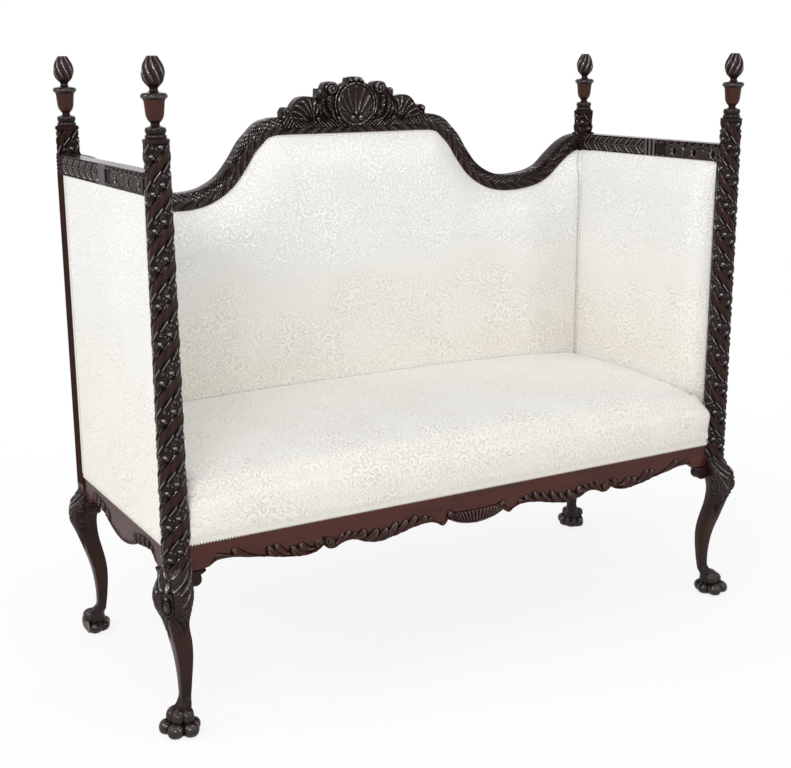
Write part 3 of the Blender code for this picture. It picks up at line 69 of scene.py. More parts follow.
def through(x, places, values):
    # a cubic between each pair of points, its slope at a point taken from both neighbours
    p = np.asarray(places, float)
    v = np.asarray(values, float)
    slope = np.gradient(v, p)
    i = np.clip(np.searchsorted(p, x) - 1, 0, len(p) - 2)
    h = p[i + 1] - p[i]
    t = np.clip((x - p[i]) / h, 0, 1)
    return ((2 * t ** 3 - 3 * t ** 2 + 1) * v[i] + (t ** 3 - 2 * t ** 2 + t) * h * slope[i]
            + (3 * t ** 2 - 2 * t ** 3) * v[i + 1] + (t ** 3 - t ** 2) * h * slope[i + 1])


def withCusps(x, runs):
    # several smooth runs of (place, value) that meet at sharp points
    out = np.zeros_like(x)
    for run in runs:
        places, values = zip(*run)
        inside = (x >= places[0]) & (x <= places[-1])
        out = np.where(inside, through(x, places, values), out)
    return out


def softMax(shapes, k):
    # a rounded union: the log of a sum of exponentials
    top = np.max(shapes, axis=0)
    return top + k * np.log(np.sum(np.exp((np.array(shapes) - top) / k), axis=0))


def dome(x, y, cx, cy, rx, ry, lift, power=0.5):
    # a rounded boss: (1 - distance squared) to a power
    d = ((x - cx) / rx) ** 2 + ((y - cy) / ry) ** 2
    return lift * np.clip(1 - d, 0, 1) ** power


def stroke(x, y, base, tip, bow):
    # the share run from base to tip, the distance beside the bowed line between them, and its length
    length = math.hypot(tip[0] - base[0], tip[1] - base[1])
    dx, dy = (tip[0] - base[0]) / length, (tip[1] - base[1]) / length
    t = ((x - base[0]) * dx + (y - base[1]) * dy) / length
    n = (y - base[1]) * dx - (x - base[0]) * dy - bow * length * 4 * t * (1 - t)
    return t, n, length


def frond(x, y, base, tip, bow, half, lift, vein=0.3):
    # a leaf lobe: a tapered stroke, bowed to one side, veined in the middle
    t, n, _ = stroke(x, y, base, tip, bow)
    width = half * np.clip(np.sin(pi * (0.16 + 0.84 * np.clip(t, 0, 1))), 1e-3, 1) ** 0.75
    inside = ease(-0.06, 0.05, t) * (1 - ease(0.93, 1.0, t))
    body = ridge(n, width, 0.55)
    return lift * inside * (body - vein * bell(n, 0.22 * width) * (body > 0) * (0.35 + 0.65 * (1 - t)))


def lobe(x, y, base, tip, bow, half, lift, grooves=2.0, cut=0.28):
    # a blunt leaf lobe that widens from its base to a round end, with grooves along it
    t, n, length = stroke(x, y, base, tip, bow)
    width = half * (0.22 + 0.78 * ease(0.0, 0.75, t))
    cap = np.clip((t - 1) * length / half + 1, 0, 2)
    body = np.clip(1 - (n / width) ** 2 - cap ** 2, 0, 1) ** 0.42 * ease(-0.02, 0.08, t)
    lines = (0.5 - 0.5 * np.cos(pi * (n / width + 1) * grooves)) ** 2
    return lift * body * (1 - cut * lines * (body > 0))


def curl(x, y, cx, cy, radius, lift, turns=1.4, hand=1, start=0.0):
    # a rolled scroll end: a boss with a spiral channel cut in it
    dx, dy = (x - cx) * hand, y - cy
    r = np.hypot(dx, dy) / radius
    angle = np.arctan2(dy, dx) / (2 * pi) + start
    line = np.abs((r * turns + angle) % 1 - 0.5) * 2
    return lift * ridge(r, 1, 0.45) * (1 - 0.55 * (1 - ease(0.0, 0.45, line)) * (r > 0.16))


def several(shape, x, y, rows):
    # the highest of several strokes or bosses of one kind, a row of settings for each
    return np.maximum.reduce([shape(x, y, *row) for row in rows])


def together(*axes):
    # separate coordinates as one array of points
    return np.stack(np.broadcast_arrays(*axes), axis=-1)


def columns(*parts):
    # arrays side by side, a number standing for a whole column
    rows = max(len(p) for p in parts if np.ndim(p))
    return np.concatenate([p if np.ndim(p) else np.full((rows, 1), p) for p in parts], axis=1)


def lengths(points):
    # running length along a line of points
    return np.append(0, np.cumsum(np.linalg.norm(np.diff(points, axis=0), axis=1)))


def onceRound(count):
    # angles round a post, in one row
    return np.linspace(0, 2 * pi, count, endpoint=False)[None, :]


def hollows(relief, spread, around=False, reach=2):
    # how far a place lies below the mean of its surroundings, as shares of the spread
    n = 6 * reach
    blur = np.pad(relief, ((n, n), (0, 0)), mode="edge")
    blur = np.pad(blur, ((0, 0), (n, n)), mode="wrap" if around else "edge")
    for _ in range(3):
        for axis in (0, 1):
            blur = sum(np.roll(blur, k, axis) for k in range(-reach, reach + 1)) / (2 * reach + 1)
    return np.clip((blur[n:-n, n:-n] - relief) / spread, 0, 1)


def crowns(relief, spread, around=False, reach=2):
    # how far a place stands above the mean of its surroundings
    return hollows(-relief, spread, around, reach)


def gridFaces(rows, cols, wrap):
    # the four corners of each square; with wrap the last column joins the first
    i = np.arange(rows - 1)[:, None]
    j = np.arange(cols if wrap else cols - 1)[None, :]
    k = (j + 1) % cols
    return np.stack([i * cols + j, i * cols + k, (i + 1) * cols + k, (i + 1) * cols + j],
                    axis=-1).reshape(-1, 4)


def skin(grid, uv=None, closed=False, **marks):
    # a grid of points as arrays ready for a mesh; closed joins its last column to the first and caps its ends
    rows, cols = grid.shape[:2]
    points = grid.reshape(-1, 3)
    layers = [np.zeros((rows * cols, 2)) if uv is None else uv.reshape(-1, 2)]
    layers += [np.broadcast_to(marks.get(key, 0.0), (rows, cols)).reshape(-1, 1) for key in markNames]
    values = np.hstack(layers)
    tris = np.zeros((0, 3), int)
    for row in (0, rows - 1) if closed else ():
        ring = row * cols + np.arange(cols)
        after, centre = np.roll(ring, -1), np.full(cols, len(points))
        points = np.vstack([points, points[ring].mean(0)])
        values = np.vstack([values, values[ring].mean(0)])
        tris = np.vstack([tris, np.stack([ring, after, centre] if row else [after, ring, centre], axis=-1)])
    return dict(points=points, quads=gridFaces(rows, cols, closed), values=values, tris=tris)


def solid(grid, **marks):
    # a skin that is closed all round and at its ends
    return skin(grid, closed=True, **marks)


def volumeOf(points, quads, tris):
    # a sixth of the sum of every triangle's triple product, negative when inside out
    every = np.vstack([quads[:, :3], quads[:, [0, 2, 3]], tris])
    a, b, c = points[every[:, 0]], points[every[:, 1]], points[every[:, 2]]
    return np.einsum("ij,ij->i", a, np.cross(b, c)).sum() / 6


def addObject(name, data):
    # an object that holds this data, linked to the scene
    item = bpy.data.objects.new(name, data)
    bpy.context.scene.collection.objects.link(item)
    return item


def build(name, parts, material, stands=(), sharp=None, turn=True):
    # joins the parts in one mesh, turns closed ones to face out, and hangs it on the frame
    points, faces, values, start = [], [], [], 0
    for p in parts:
        quads, tris = p["quads"], p["tris"]
        if turn and volumeOf(p["points"] - p["points"].mean(0), quads, tris) < 0:
            quads, tris = quads[:, ::-1], tris[:, ::-1]
        points.append(p["points"])
        values.append(p["values"])
        faces += (quads + start).tolist() + (tris + start).tolist()
        start += len(p["points"])
    mesh = bpy.data.meshes.new(name)
    mesh.from_pydata(np.vstack(points).tolist(), [], faces)
    mesh.polygons.foreach_set("use_smooth", np.ones(len(mesh.polygons), bool))
    loops = np.zeros(len(mesh.loops), int)
    mesh.loops.foreach_get("vertex_index", loops)
    values = np.vstack(values)
    mesh.uv_layers.new(name="cloth").data.foreach_set("uv", values[loops, :2].ravel())
    for column, key in enumerate(markNames, 2):
        attribute = mesh.attributes.new(key, "FLOAT", "POINT")
        attribute.data.foreach_set("value", values[:, column].astype(np.float32))
    if sharp:
        mesh.set_sharp_from_angle(angle=math.radians(sharp))
    mesh.materials.append(material)
    piece = addObject(name, mesh)
    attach(piece, "root")
    if stands:
        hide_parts(*stands)
    return piece


class Value:
    # one socket's value, so that shader sums can be written as plain sums
    def __init__(self, tree, socket):
        self.tree, self.socket = tree, socket

    def sum(self, operation, other=None, swap=False):
        node = self.tree.nodes.new("ShaderNodeMath")
        node.operation = operation
        for slot, value in zip(node.inputs, (other, self) if swap else (self, other)):
            if isinstance(value, Value):
                self.tree.links.new(value.socket, slot)
            elif value is not None:
                slot.default_value = value
        return Value(self.tree, node.outputs[0])

    def __add__(self, other): return self.sum("ADD", other)
    def __radd__(self, other): return self.sum("ADD", other, True)
    def __sub__(self, other): return self.sum("SUBTRACT", other)
    def __rsub__(self, other): return self.sum("SUBTRACT", other, True)
    def __mul__(self, other): return self.sum("MULTIPLY", other)
    def __rmul__(self, other): return self.sum("MULTIPLY", other, True)
    def __truediv__(self, other): return self.sum("DIVIDE", other)
    def __mod__(self, other): return self.sum("FLOORED_MODULO", other)
    def __abs__(self): return self.sum("ABSOLUTE")
    def over(self, other): return self.sum("MAXIMUM", other)
    def sine(self): return self.sum("SINE")


class Finish:
    # a material with its Principled shader, and one way to add any node
    def __init__(self, name):
        self.material = bpy.data.materials.new(name)
        self.material.use_nodes = True
        self.tree = self.material.node_tree
        self.shader = self.tree.nodes["Principled BSDF"]

    def put(self, slot, value):
        if isinstance(value, Value):
            value = value.socket
        if hasattr(value, "is_output"):
            self.tree.links.new(value, slot)
        else:
            slot.default_value = value

    def fill(self, node, sockets):
        for key, value in sockets.items():
            self.put(next(s for s in node.inputs if s.name.replace(" ", "") == key and s.enabled), value)

    def set(self, **sockets):
        self.fill(self.shader, sockets)

    def add(self, kind, settings=None, **sockets):
        node = self.tree.nodes.new("ShaderNode" + kind)
        for key, value in (settings or {}).items():
            setattr(node, key, value)
        self.fill(node, sockets)
        return node

    def values(self, kind, outs, settings=None, **sockets):
        node = self.add(kind, settings, **sockets)
        return [Value(self.tree, node.outputs[i]) for i in outs]

    def value(self, kind, settings=None, out=0, **sockets):
        return self.values(kind, (out,), settings, **sockets)[0]

    def noise(self, place, scale, detail, flat=False, out=0, **sockets):
        return self.value("TexNoise", {"noise_dimensions": "2D" if flat else "3D"}, out,
                          Vector=place, Scale=scale, Detail=detail, **sockets)

    def vector(self, operation, *inputs):
        node = self.add("VectorMath", {"operation": operation})
        for slot, value in zip(node.inputs, inputs):
            self.put(slot, value)
        return Value(self.tree, node.outputs[0])

    def place(self):
        return self.value("TexCoord", out=3)        # Object coordinates

    def xyz(self, vector):
        return self.values("SeparateXYZ", range(3), Vector=vector)

    def bump(self, strength, distance, height):
        return self.value("Bump", Strength=strength, Distance=distance, Height=height)

    def blend(self, factor, a, b):
        node = self.add("Mix", {"data_type": "RGBA"})
        for slot, value in ((node.inputs[0], factor), (node.inputs[6], a), (node.inputs[7], b)):
            self.put(slot, (*value, 1) if isinstance(value, tuple) else value)
        return Value(self.tree, node.outputs[2])

    def step(self, value, low, high):
        return self.value("MapRange", {"interpolation_type": "SMOOTHSTEP"},
                          Value=value, FromMin=low, FromMax=high)


# the dark colour for hollows is painted shade, and the coat weight for crowns paints glints on them
woodLooks = dict(plain=(0.070, 0.0150, 0.0085), dark=(0.0165, 0.0082, 0.0066), vein=(0.008, 0.004, 0.0032),
                 recess=(0.0026, 0.0016, 0.0013), grain=55, stretch=14, gloss=0.28, coat=0.038, plainCoat=0.05,
                 polish=1.0)


def mahogany(axis, level=0.10):
    # grain streaks along one axis; plain places are redder; hollows take a painted shade colour and less coat;
    # crowns take a strong coat that paints glints on them
    look = woodLooks
    f = Finish("mahogany" + axis)
    place = f.place()
    scale = [look["grain"]] * 3
    scale["XYZ".index(axis)] = look["grain"] / look["stretch"]
    stretched = f.value("Mapping", Vector=place, Scale=tuple(scale))
    streak = f.noise(stretched, 1.0, 6.0, Roughness=0.62, Distortion=0.4)
    pore = f.noise(f.value("Mapping", Vector=place, Scale=tuple(4 * s for s in scale)), 1.0, 3.0)
    patch = f.noise(place, 9.0, 3.0)
    cavity, plain, crown = (f.value("Attribute", {"attribute_name": key}, out=2) for key in markNames)
    red = f.step(plain * 0.9 + streak * 0.34 + patch * 0.20 - 0.20, 0.05, 0.95)
    colour = f.blend(red, look["dark"], look["plain"])
    colour = f.blend(f.step(streak, 0.42, 0.75) * 0.5, colour, look["vein"])
    # painted shade: the cavity mark blends the colour towards the dark hollow colour
    colour = f.blend(f.step(cavity, 0.05, 0.85), colour, look["recess"])
    shine = f.step(plain, 0.25, 0.75) * look["plainCoat"] + look["coat"]
    # painted highlights: the coat is cut in hollows and raised on crowns, where its high IOR paints glints
    # along the ridges
    polish = f.step(cavity, 0.8, 0.1) * (shine + f.step(crown, 0.20, 0.95) * (look["polish"] - shine))
    f.set(BaseColor=colour, Roughness=look["gloss"] + patch * 0.12 + cavity * 0.45 - crown * 0.12,
          Normal=f.bump(0.20, 0.0004, streak * 0.5 + pore * 0.5), CoatWeight=polish, CoatRoughness=0.13,
          CoatIOR=2.40, IOR=1.45, SpecularIORLevel=level)
    return f.material


clothLooks = dict(ground=(0.738, 0.730, 0.702), figure=(0.970, 0.970, 0.955), aged=(0.815, 0.738, 0.585),
                  shade=(0.520, 0.485, 0.405), cell=0.0215, small=0.0148, turns=2.0, line=0.28, weave=0.0011,
                  wobble=0.013)


def scrolls(f, uv, size, shift):
    # curling vine lines: a spiral in each cell of a scattered grid, its stems along the cells' borders
    look = clothLooks
    scaled = f.vector("MULTIPLY_ADD", uv, (1 / size, 1 / size, 0), (shift, shift, 0))
    far, hue, middle = f.values("TexVoronoi", range(3), {"voronoi_dimensions": "2D"}, Vector=scaled, Scale=1.0)
    x, y, _ = f.xyz(f.vector("SUBTRACT", scaled, middle))
    chance, other = f.values("SeparateColor", range(2), Color=hue)
    hand = (chance - 0.5).sum("SIGN")
    angle = y.sum("ARCTAN2", x) / (2 * pi)
    spiral = abs((far * look["turns"] + hand * angle + other) % 1.0 - 0.5) * 2.0
    vine = 1 - f.step(spiral, look["line"] * 0.55, look["line"])
    edge = f.value("TexVoronoi", {"voronoi_dimensions": "2D", "feature": "DISTANCE_TO_EDGE"},
                   Vector=scaled, Scale=1.0)
    stem = (1 - f.step(edge, 0.014, 0.040)) * f.step(other, 0.25, 0.35)
    bud = 1 - f.step(far, 0.07, 0.12)
    return vine.over(bud).over(stem * 0.9)


def damask():
    # two sizes of scrolls that take turns over the cloth; light on the ground high up, and lower down, where
    # the satin turns from the light, dark on it
    look = clothLooks
    f = Finish("ivoryDamask")
    uv = f.value("UVMap", {"uv_map": "cloth"})
    pushed = f.vector("MULTIPLY_ADD", f.noise(uv, 42.0, 1.0, True, 1), (look["wobble"], look["wobble"], 0), uv)
    share = f.step(f.noise(uv, 17.0, 1.0, True), 0.40, 0.54)
    large, small = scrolls(f, pushed, look["cell"], 0.0), scrolls(f, pushed, look["small"], 7.3)
    figure = (large * (1 - share)).over(small * share)
    figure = figure * (f.step(f.noise(uv, 6.0, 2.0, True), 0.34, 0.58) * 0.35 + 0.65)
    warp, woof = ((way * (2 * pi / look["weave"])).sine() for way in f.xyz(uv)[:2])
    tone = f.noise(uv, 5.0, 4.0, True)
    across, depth, height = f.xyz(f.place())
    seatTop = f.step(height, 0.530, 0.522) * f.step(depth, -0.262, -0.235) * f.step(abs(across), 0.645, 0.630)
    seatTop = seatTop * f.step(depth, 0.262, 0.248)
    # a warmer, yellower tone towards the bottom, much less on the seat's top
    aged = f.step(height + tone * 0.20, 0.98, 0.58) * (1 - seatTop * 0.75) * 0.66
    turned = f.step(height + tone * 0.30, 0.98, 0.84)
    ground = f.blend(f.step(tone, 0.3, 0.75), look["ground"], tuple(c * 1.035 for c in look["ground"]))
    ground = f.blend(aged, ground, look["aged"])
    light = f.blend(figure, ground, look["figure"])
    dark = f.blend(figure * 0.62, f.blend(0.42, ground, look["figure"]), look["shade"])
    f.set(BaseColor=f.blend(turned, light, dark), Roughness=0.78 - figure * 0.30,
          Normal=f.bump(0.5, 0.0006, figure * 0.7 + warp * woof * 0.12), SheenWeight=0.25, SheenRoughness=0.4)
    return f.material


def braid():
    # a flat woven braid: chevron threads between two corded edges
    middle, slantPitch, cordPitch = 0.006, 0.0024, 0.0016
    f = Finish("creamBraid")
    along, across, _ = f.xyz(f.value("UVMap", {"uv_map": "cloth"}))
    thread = ((along + abs(across - middle) * 0.9) * (2 * pi / slantPitch)).sine()
    edge = f.step(abs(across - middle), 0.0040, 0.0046)
    cord = (along * (2 * pi / cordPitch)).sine() * edge
    colour = f.blend(f.step(thread + cord, -1.0, 1.0), (0.74, 0.705, 0.615), (0.91, 0.885, 0.81))
    f.set(BaseColor=colour, Roughness=0.8, Normal=f.bump(0.6, 0.0005, thread * (1 - edge) + cord),
          SheenWeight=0.2)
    return f.material


def plainCloth(name, light, dark, pitch):
    # an open plain weave on Object coordinates
    f = Finish(name)
    x, y, z = f.xyz(f.place())
    a, b = (((way + z * 0.7) * (2 * pi / pitch)).sine() for way in (x, y))
    weave = f.step(a * b, -0.8, 0.8)
    fuzz = f.noise(f.place(), 160.0, 3.0)
    f.set(BaseColor=f.blend(weave * 0.6 + fuzz * 0.4, dark, light), Roughness=0.93,
          Normal=f.bump(0.6, pitch * 0.3, weave))
    return f.material


def plainWood():
    # brown streaks stretched along the grain
    f = Finish("beechFrame")
    streak = f.noise(f.value("Mapping", Vector=f.place(), Scale=(6.0, 60.0, 60.0)), 1.0, 5.0)
    f.set(BaseColor=f.blend(f.step(streak, 0.3, 0.7), (0.30, 0.19, 0.10), (0.46, 0.31, 0.18)),
          Roughness=0.6, Normal=f.bump(0.3, 0.0005, streak))
    return f.material


def springWire():
    # grey wire, browner and duller where it rusts
    f = Finish("springSteel")
    rust = f.step(f.noise(f.place(), 90.0, 4.0), 0.45, 0.7)
    f.set(BaseColor=f.blend(rust, (0.32, 0.31, 0.30), (0.20, 0.11, 0.06)), Metallic=0.9 - rust * 0.6,
          Roughness=0.38 + rust * 0.4)
    return f.material


woodX, woodY, woodZ = (mahogany(a) for a in "XYZ")
woodDull = mahogany("Z", 0.0)
fabric, trim = damask(), braid()
beech, steel = plainWood(), springWire()
jute = plainCloth("juteWebbing", (0.52, 0.42, 0.27), (0.27, 0.20, 0.11), 0.0035)
canvas = plainCloth("hessian", (0.50, 0.41, 0.27), (0.20, 0.15, 0.09), 0.0022)
print("materials made")

post = dict(halfSpacing=0.6625, halfDepth=0.2615, base=0.335, top=1.112, baseRadius=0.0270,
            topRadius=0.0235, band=0.0664, starts=2, units=8, roll=0.31, drift=0.09, relief=0.0052,
            join=0.350, around=152, step=0.00096, squareTop=1.058, squareHalf=0.021, squareAround=128,
            squareCarved=1.0135, pawTop=0.064, legLow=0.0655, kneeLow=0.20, collar=1.1035, groove=1.1042,
            sawn=0.025, sawnHigh=0.030)
legTable = np.array([   # height, swing outwards and half thickness, in millimetres
    (58, -9.5, 14.2), (64, -11, 13.3), (80, -13, 14), (100, -14, 15.6), (122, -14, 17.9),
    (147, -12, 20.6), (171, -7, 23), (195, 0.5, 25), (220, 8.5, 26.3), (243, 14, 28.5),
    (264, 17.5, 32), (285, 15.5, 35.5), (302, 10.5, 34.5), (318, 4.5, 30), (335, 0, 27),
    (360, 0, 27)]) / 1000
kneeLobes = [   # base, tip, bow, half width, lift, grooves and their depth
    ((0.040, 0.349), (0.010, 0.297), 0.12, 0.0060, 0.0042, 2, 0.6),
    ((0.050, 0.343), (0.024, 0.290), 0.12, 0.0060, 0.0040, 2, 0.6),
    ((0.024, 0.352), (0.004, 0.318), 0.08, 0.0054, 0.0038, 2, 0.6),
    ((0.048, 0.318), (0.026, 0.266), 0.18, 0.0064, 0.0036, 2, 0.6),
    ((0.036, 0.288), (0.017, 0.236), 0.20, 0.0060, 0.0030, 2, 0.6)]
kneeFronds = [  # base, tip, bow, half width and lift
    ((0.013, 0.256), (0.024, 0.204), 0.16, 0.0034, 0.0024),
    ((0.005, 0.248), (0.013, 0.190), 0.12, 0.0032, 0.0024),
    ((0.022, 0.258), (0.034, 0.214), 0.14, 0.0034, 0.0022)]
toeLumps = [    # turned by a share of the toe's angle, out, height, half width, half height, ridges
    (1.0, 0.0280, 0.0138, 0.0163, 0.0146, 0.0006), (0.95, 0.0185, 0.0350, 0.0126, 0.0165, 0.0005),
    (0.9, 0.0090, 0.0540, 0.0090, 0.0180, 0.0004)]
heelLumps = [(180, 0.0150, 0.0130, 0.0180, 0.0150, 0.0), (120, 0.0200, 0.0125, 0.0150, 0.0135, 0.0),
             (-120, 0.0200, 0.0125, 0.0150, 0.0135, 0.0)]


def shaftRadius(angle, z):
    # two leaf bands: down runs across a band from its rolled edge (0) to the next (1), along counts its units
    turn = angle / (2 * pi)
    drift = post["drift"] * np.sin(2 * pi * (z - 0.68) / 0.72)
    down = (post["starts"] * turn - z / post["band"] - post["roll"] + drift) % 1
    along = turn * post["units"] - 0.52
    lean = post["starts"] / post["units"]       # what one unit along adds to down on a level line
    taper = (z - post["base"]) / (post["top"] - post["base"])
    radius = post["baseRadius"] + (post["topRadius"] - post["baseRadius"]) * taper

    def off(u):
        # distance along from the middle of the nearest unit, from -0.5 to 0.5
        return (along - u + 0.5) % 1 - 0.5

    def spot(u, v, wide, tall):
        # 1 in the middle of a level ellipse in each unit, 0 at its border
        return np.clip(1 - (off(u) / wide) ** 2 - ((down - v - lean * off(u)) / tall) ** 2, 0, 1)

    aside = np.abs(off(0))
    fromRoll = (down + 0.5) % 1 - 0.5 + 0.12 * off(0)
    roll = (1.10 - 0.34 * ease(0.33, 0.5, aside)) * ridge(fromRoll, 0.056 - 0.034 * ease(0.30, 0.50, aside))
    bud, bead = spot(-0.37, 0.150, 0.28, 0.080), spot(-0.53, 0.335, 0.36, 0.064)
    small, third = spot(0.02, 0.285, 0.15, 0.07), spot(-0.30, 0.455, 0.22, 0.050)
    ribs = 0.5 + 0.5 * np.cos(2 * pi * z / 0.0031)
    rimMiddle = ease(0.40, 0.20, np.abs(off(0.15)))
    fromRim = down - 0.535 + 0.10 * off(0.15)
    rim = ridge(fromRim, 0.012 + 0.020 * rimMiddle)
    cell = (along - 0.30 + 0.63 * (down - 0.53) / 0.42) % 1
    a = np.clip((down - 0.748) / 0.205, -1, 1)
    leaf = (1 - np.abs(a) ** 2.4) ** 0.6 * (0.56 + 0.36 * cell ** 1.4)
    ground = (0.34 + 0.14 * np.cos(2 * pi * (down * 13 + along * 0.5))) * (down < 0.5)
    height = np.maximum.reduce([
        roll, bud ** 0.5 * (0.86 + 0.22 * ribs), 1.04 * bead ** 0.5, 0.84 * small ** 0.5,
        0.80 * third ** 0.5, 1.02 * rim, leaf, ground])
    # painted highlights: the coat is raised on the rolls, the bud ribs, the beads and the rim's middle, so
    # glints show there
    glint = np.maximum.reduce([
        1.15 * bell(fromRoll - 0.008, 0.028) * ease(0.44, 0.30, aside),
        ease(0.35, 0.80, bud) * (0.25 + 0.75 * ribs ** 2) * 0.8, 0.95 * ease(0.40, 0.85, bead),
        0.5 * ease(0.4, 0.9, small), 0.5 * ease(0.4, 0.9, third),
        1.10 * bell(fromRim + 0.003, 0.016) * (0.20 + 0.80 * rimMiddle), 0.15 + 0 * roll])
    smooth = ease(0.02, 0.10, 1 - np.abs(a)) * (leaf >= roll) * (leaf >= rim) * (down > 0.5)
    red = smooth * (0.06 + 0.30 * ease(1.0, 0.35, cell) * (1 - a ** 2))
    return radius - post["relief"] * (1 - height), np.clip(glint, 0, 1), red


def legRadius(angle, z):
    # a square with soft corners, one corner outwards, and the knee's carving laid over it
    half = through(z, legTable[:, 0], legTable[:, 2])
    power = 1.20 + 0.22 * ease(0.20, 0.27, z) + 0.5 * ease(0.305, 0.335, z)
    ahead = np.cos(angle)
    c, s = np.abs(ahead), np.abs(np.sin(angle))
    plain = half / (c ** power + s ** power) ** (1 / power)
    plain = plain * (1 - 0.10 * np.clip(-ahead, 0, 1) ** 3)
    plain = plain + 0.0075 * s ** 2 * bell(z - 0.272, 0.030) * ease(-0.5, 0.2, ahead)
    a = plain * ((angle + pi) % (2 * pi) - pi)      # distance round the leg from the ridge
    w = np.abs(a)
    drop = dome(a, z, 0, 0.3060, 0.0050, 0.0125, 0.0066, 0.6)
    boss = dome(a, z, 0, 0.2700, 0.0070, 0.0140, 0.0050)
    pearl = dome(a, z, 0, 0.2885, 0.0042, 0.0044, 0.0046, 0.6)
    ring = np.hypot(a / 0.0122, (z - 0.2725) / 0.0225)      # 1 on the frame round the boss
    veins = reeds((w - 0.62 * (z - 0.27) + 0.10 * w * np.sin(z * 90)) / 0.0052)
    leaves = np.maximum.reduce([
        several(lobe, w, z, kneeLobes), several(frond, w, z, kneeFronds),
        0.0016 * veins * ease(0.238, 0.266, z + 0.4 * w) * (ring > 1.3)])
    carve = np.maximum.reduce([
        boss, pearl, drop, leaves, 0.0030 * ridge(ring - 1, 0.14),
        0.0018 * ridge(ring - 1.36, 0.12) * (z < 0.285), dome(a, z, 0, 0.2945, 0.0080, 0.0020, 0.0042),
        curl(w, z, 0.040, 0.302, 0.0100, 0.0044, 1.4), curl(w, z, 0.030, 0.262, 0.0064, 0.0030, 1.2)])
    fade = ease(0.184, 0.206, z) * (1 - ease(0.334, 0.350, z)) * ease(-0.9, -0.3, ahead)
    # painted highlights: the coat is raised on the drop, pearl, boss, leaves and veins, so glints show there
    glint = np.maximum.reduce([
        0.20 + 0 * carve, ease(0.0035, 0.0062, drop), 0.8 * ease(0.0028, 0.0044, pearl),
        0.50 * ease(0.0034, 0.0049, boss), 0.90 * ease(0.0028, 0.0038, leaves),
        0.50 * ease(0.88, 0.99, veins) * (leaves < 0.0024) * ease(0.238, 0.266, z)]) * fade
    return plain + (carve - 0.0012) * fade, glint


def pawRadius(angle, z):
    # the far side of a cluster of rounded lumps, seen along level rays from the foot's middle
    def lump(at, out, height, wide, tall, ridges):
        # the far hit of a level ray on a rounded lump that stands out at an angle
        turn = angle - math.radians(at)
        reach = (wide ** 2) * np.clip(1 - (np.abs(z - height) / tall) ** 2.3, 0, 1)
        root = reach - (out * np.sin(turn)) ** 2
        hit = out * np.cos(turn) + np.sqrt(np.clip(root, 0, None))
        hit = hit - ridges * (0.5 + 0.5 * np.cos(turn * 62)) * ease(0.004, 0.012, z)
        return np.where((root > 0) & (hit > 0), hit, 0)

    core = through(z, (0, 0.015, 0.03, 0.045, 0.058, 0.066), (0.0235, 0.0235, 0.0200, 0.0170, 0.0155, 0.0148))
    toes = [(at * share, *sizes) for at in (0, 60, -60) for share, *sizes in toeLumps]
    return softMax([core * np.ones_like(angle)] + [lump(*row) for row in toes + heelLumps], 0.0006)


def postPoints(side, facing, angle, z, radius, swing=0):
    # from angle round the outward diagonal and radius to places in the frame
    ox, oy = side / math.sqrt(2), facing / math.sqrt(2)
    ax, ay = side * facing / math.sqrt(2), -1 / math.sqrt(2)
    reach, across = swing + radius * np.cos(angle), radius * np.sin(angle)
    return together(side * post["halfSpacing"] + reach * ox + across * ax,
                    facing * post["halfDepth"] + reach * oy + across * ay, z)


def makeLeg(side, facing):
    # the paw's rows, and over them the leg's rows, which run into the shaft or the square
    turn = onceRound(post["around"])
    foot = np.linspace(0, post["pawTop"], 50)[:, None]
    paw = pawRadius(turn, foot)
    paw[:4] *= np.array([0.86, 0.93, 0.975, 1.0])[:, None]      # the sole's rounded edge
    swing = through(foot, (0, 0.013, 0.029, 0.046, 0.054, 0.064), (0.009, 0.007, 0.005, 0.001, -0.006, -0.011))
    blendUp = ease(0.046, post["pawTop"], foot)
    pawGrid = postPoints(side, facing, turn, foot,
                         paw * (1 - blendUp) + legRadius(turn, foot)[0] * blendUp, swing)
    # painted shade in the clefts between the toes
    pawCavity = 0.85 * hollows(paw, 0.0026, True) * (1 - ease(0.044, 0.056, foot))
    z = np.concatenate([np.linspace(post["legLow"], post["kneeLow"], 48),
                        np.linspace(post["kneeLow"] + 0.0012, post["join"], 114)])[:, None]
    # carve here holds the knee's painted glints from legRadius, not its relief
    radius, carve = legRadius(turn, z)
    above, glint, plainAbove = shaftRadius(turn, z)
    if facing > 0:
        square = np.maximum(np.abs(np.cos(turn + pi / 4)), np.abs(np.sin(turn + pi / 4)))
        above = post["squareHalf"] / square + 0 * z
        glint, plainAbove = 0, 0.5
    mix = ease(0.322, 0.346, z)
    radius = radius * (1 - mix) + above * mix
    swings = through(z, legTable[:, 0], legTable[:, 1])
    grid = np.concatenate([pawGrid, postPoints(side, facing, turn, z, radius, swings)])
    # painted shade in the knee's carved hollows
    legCavity = np.clip(1.3 * hollows(radius, 0.0016, True), 0, 1) * ease(0.07, 0.09, z)
    smooth = 0.10 + 0.20 * ease(0.07, 0.12, z) - 0.12 * ease(0.19, 0.25, z)
    plain = np.concatenate([0.06 + 0 * pawCavity, smooth * (1 - mix) + plainAbove * mix + 0 * radius])
    # painted sheen on the paw and glints on its knuckles, through the coat; above it, the knee's painted glints
    sheen = 0.28 * (1 - blendUp) + 0.22 * blendUp
    crown = np.concatenate([sheen + 0.30 * crowns(paw, 0.003, True) * (1 - blendUp),
                            np.maximum(carve, 0.22) * (1 - mix) + glint * mix])
    if facing > 0:      # the back feet are sawn flat on their outer sides, down to bare wood
        flat = side * (post["halfSpacing"] + post["sawn"])
        cut = (grid[..., 2] < post["sawnHigh"]) & (side * grid[..., 0] > side * flat)
        grid[..., 0] = np.where(cut, flat, grid[..., 0])
        plain, crown = np.where(cut, 1.1, plain), np.where(cut, 0.0, crown)
    return solid(grid, cavity=np.concatenate([pawCavity, legCavity]), plain=plain, crown=crown)


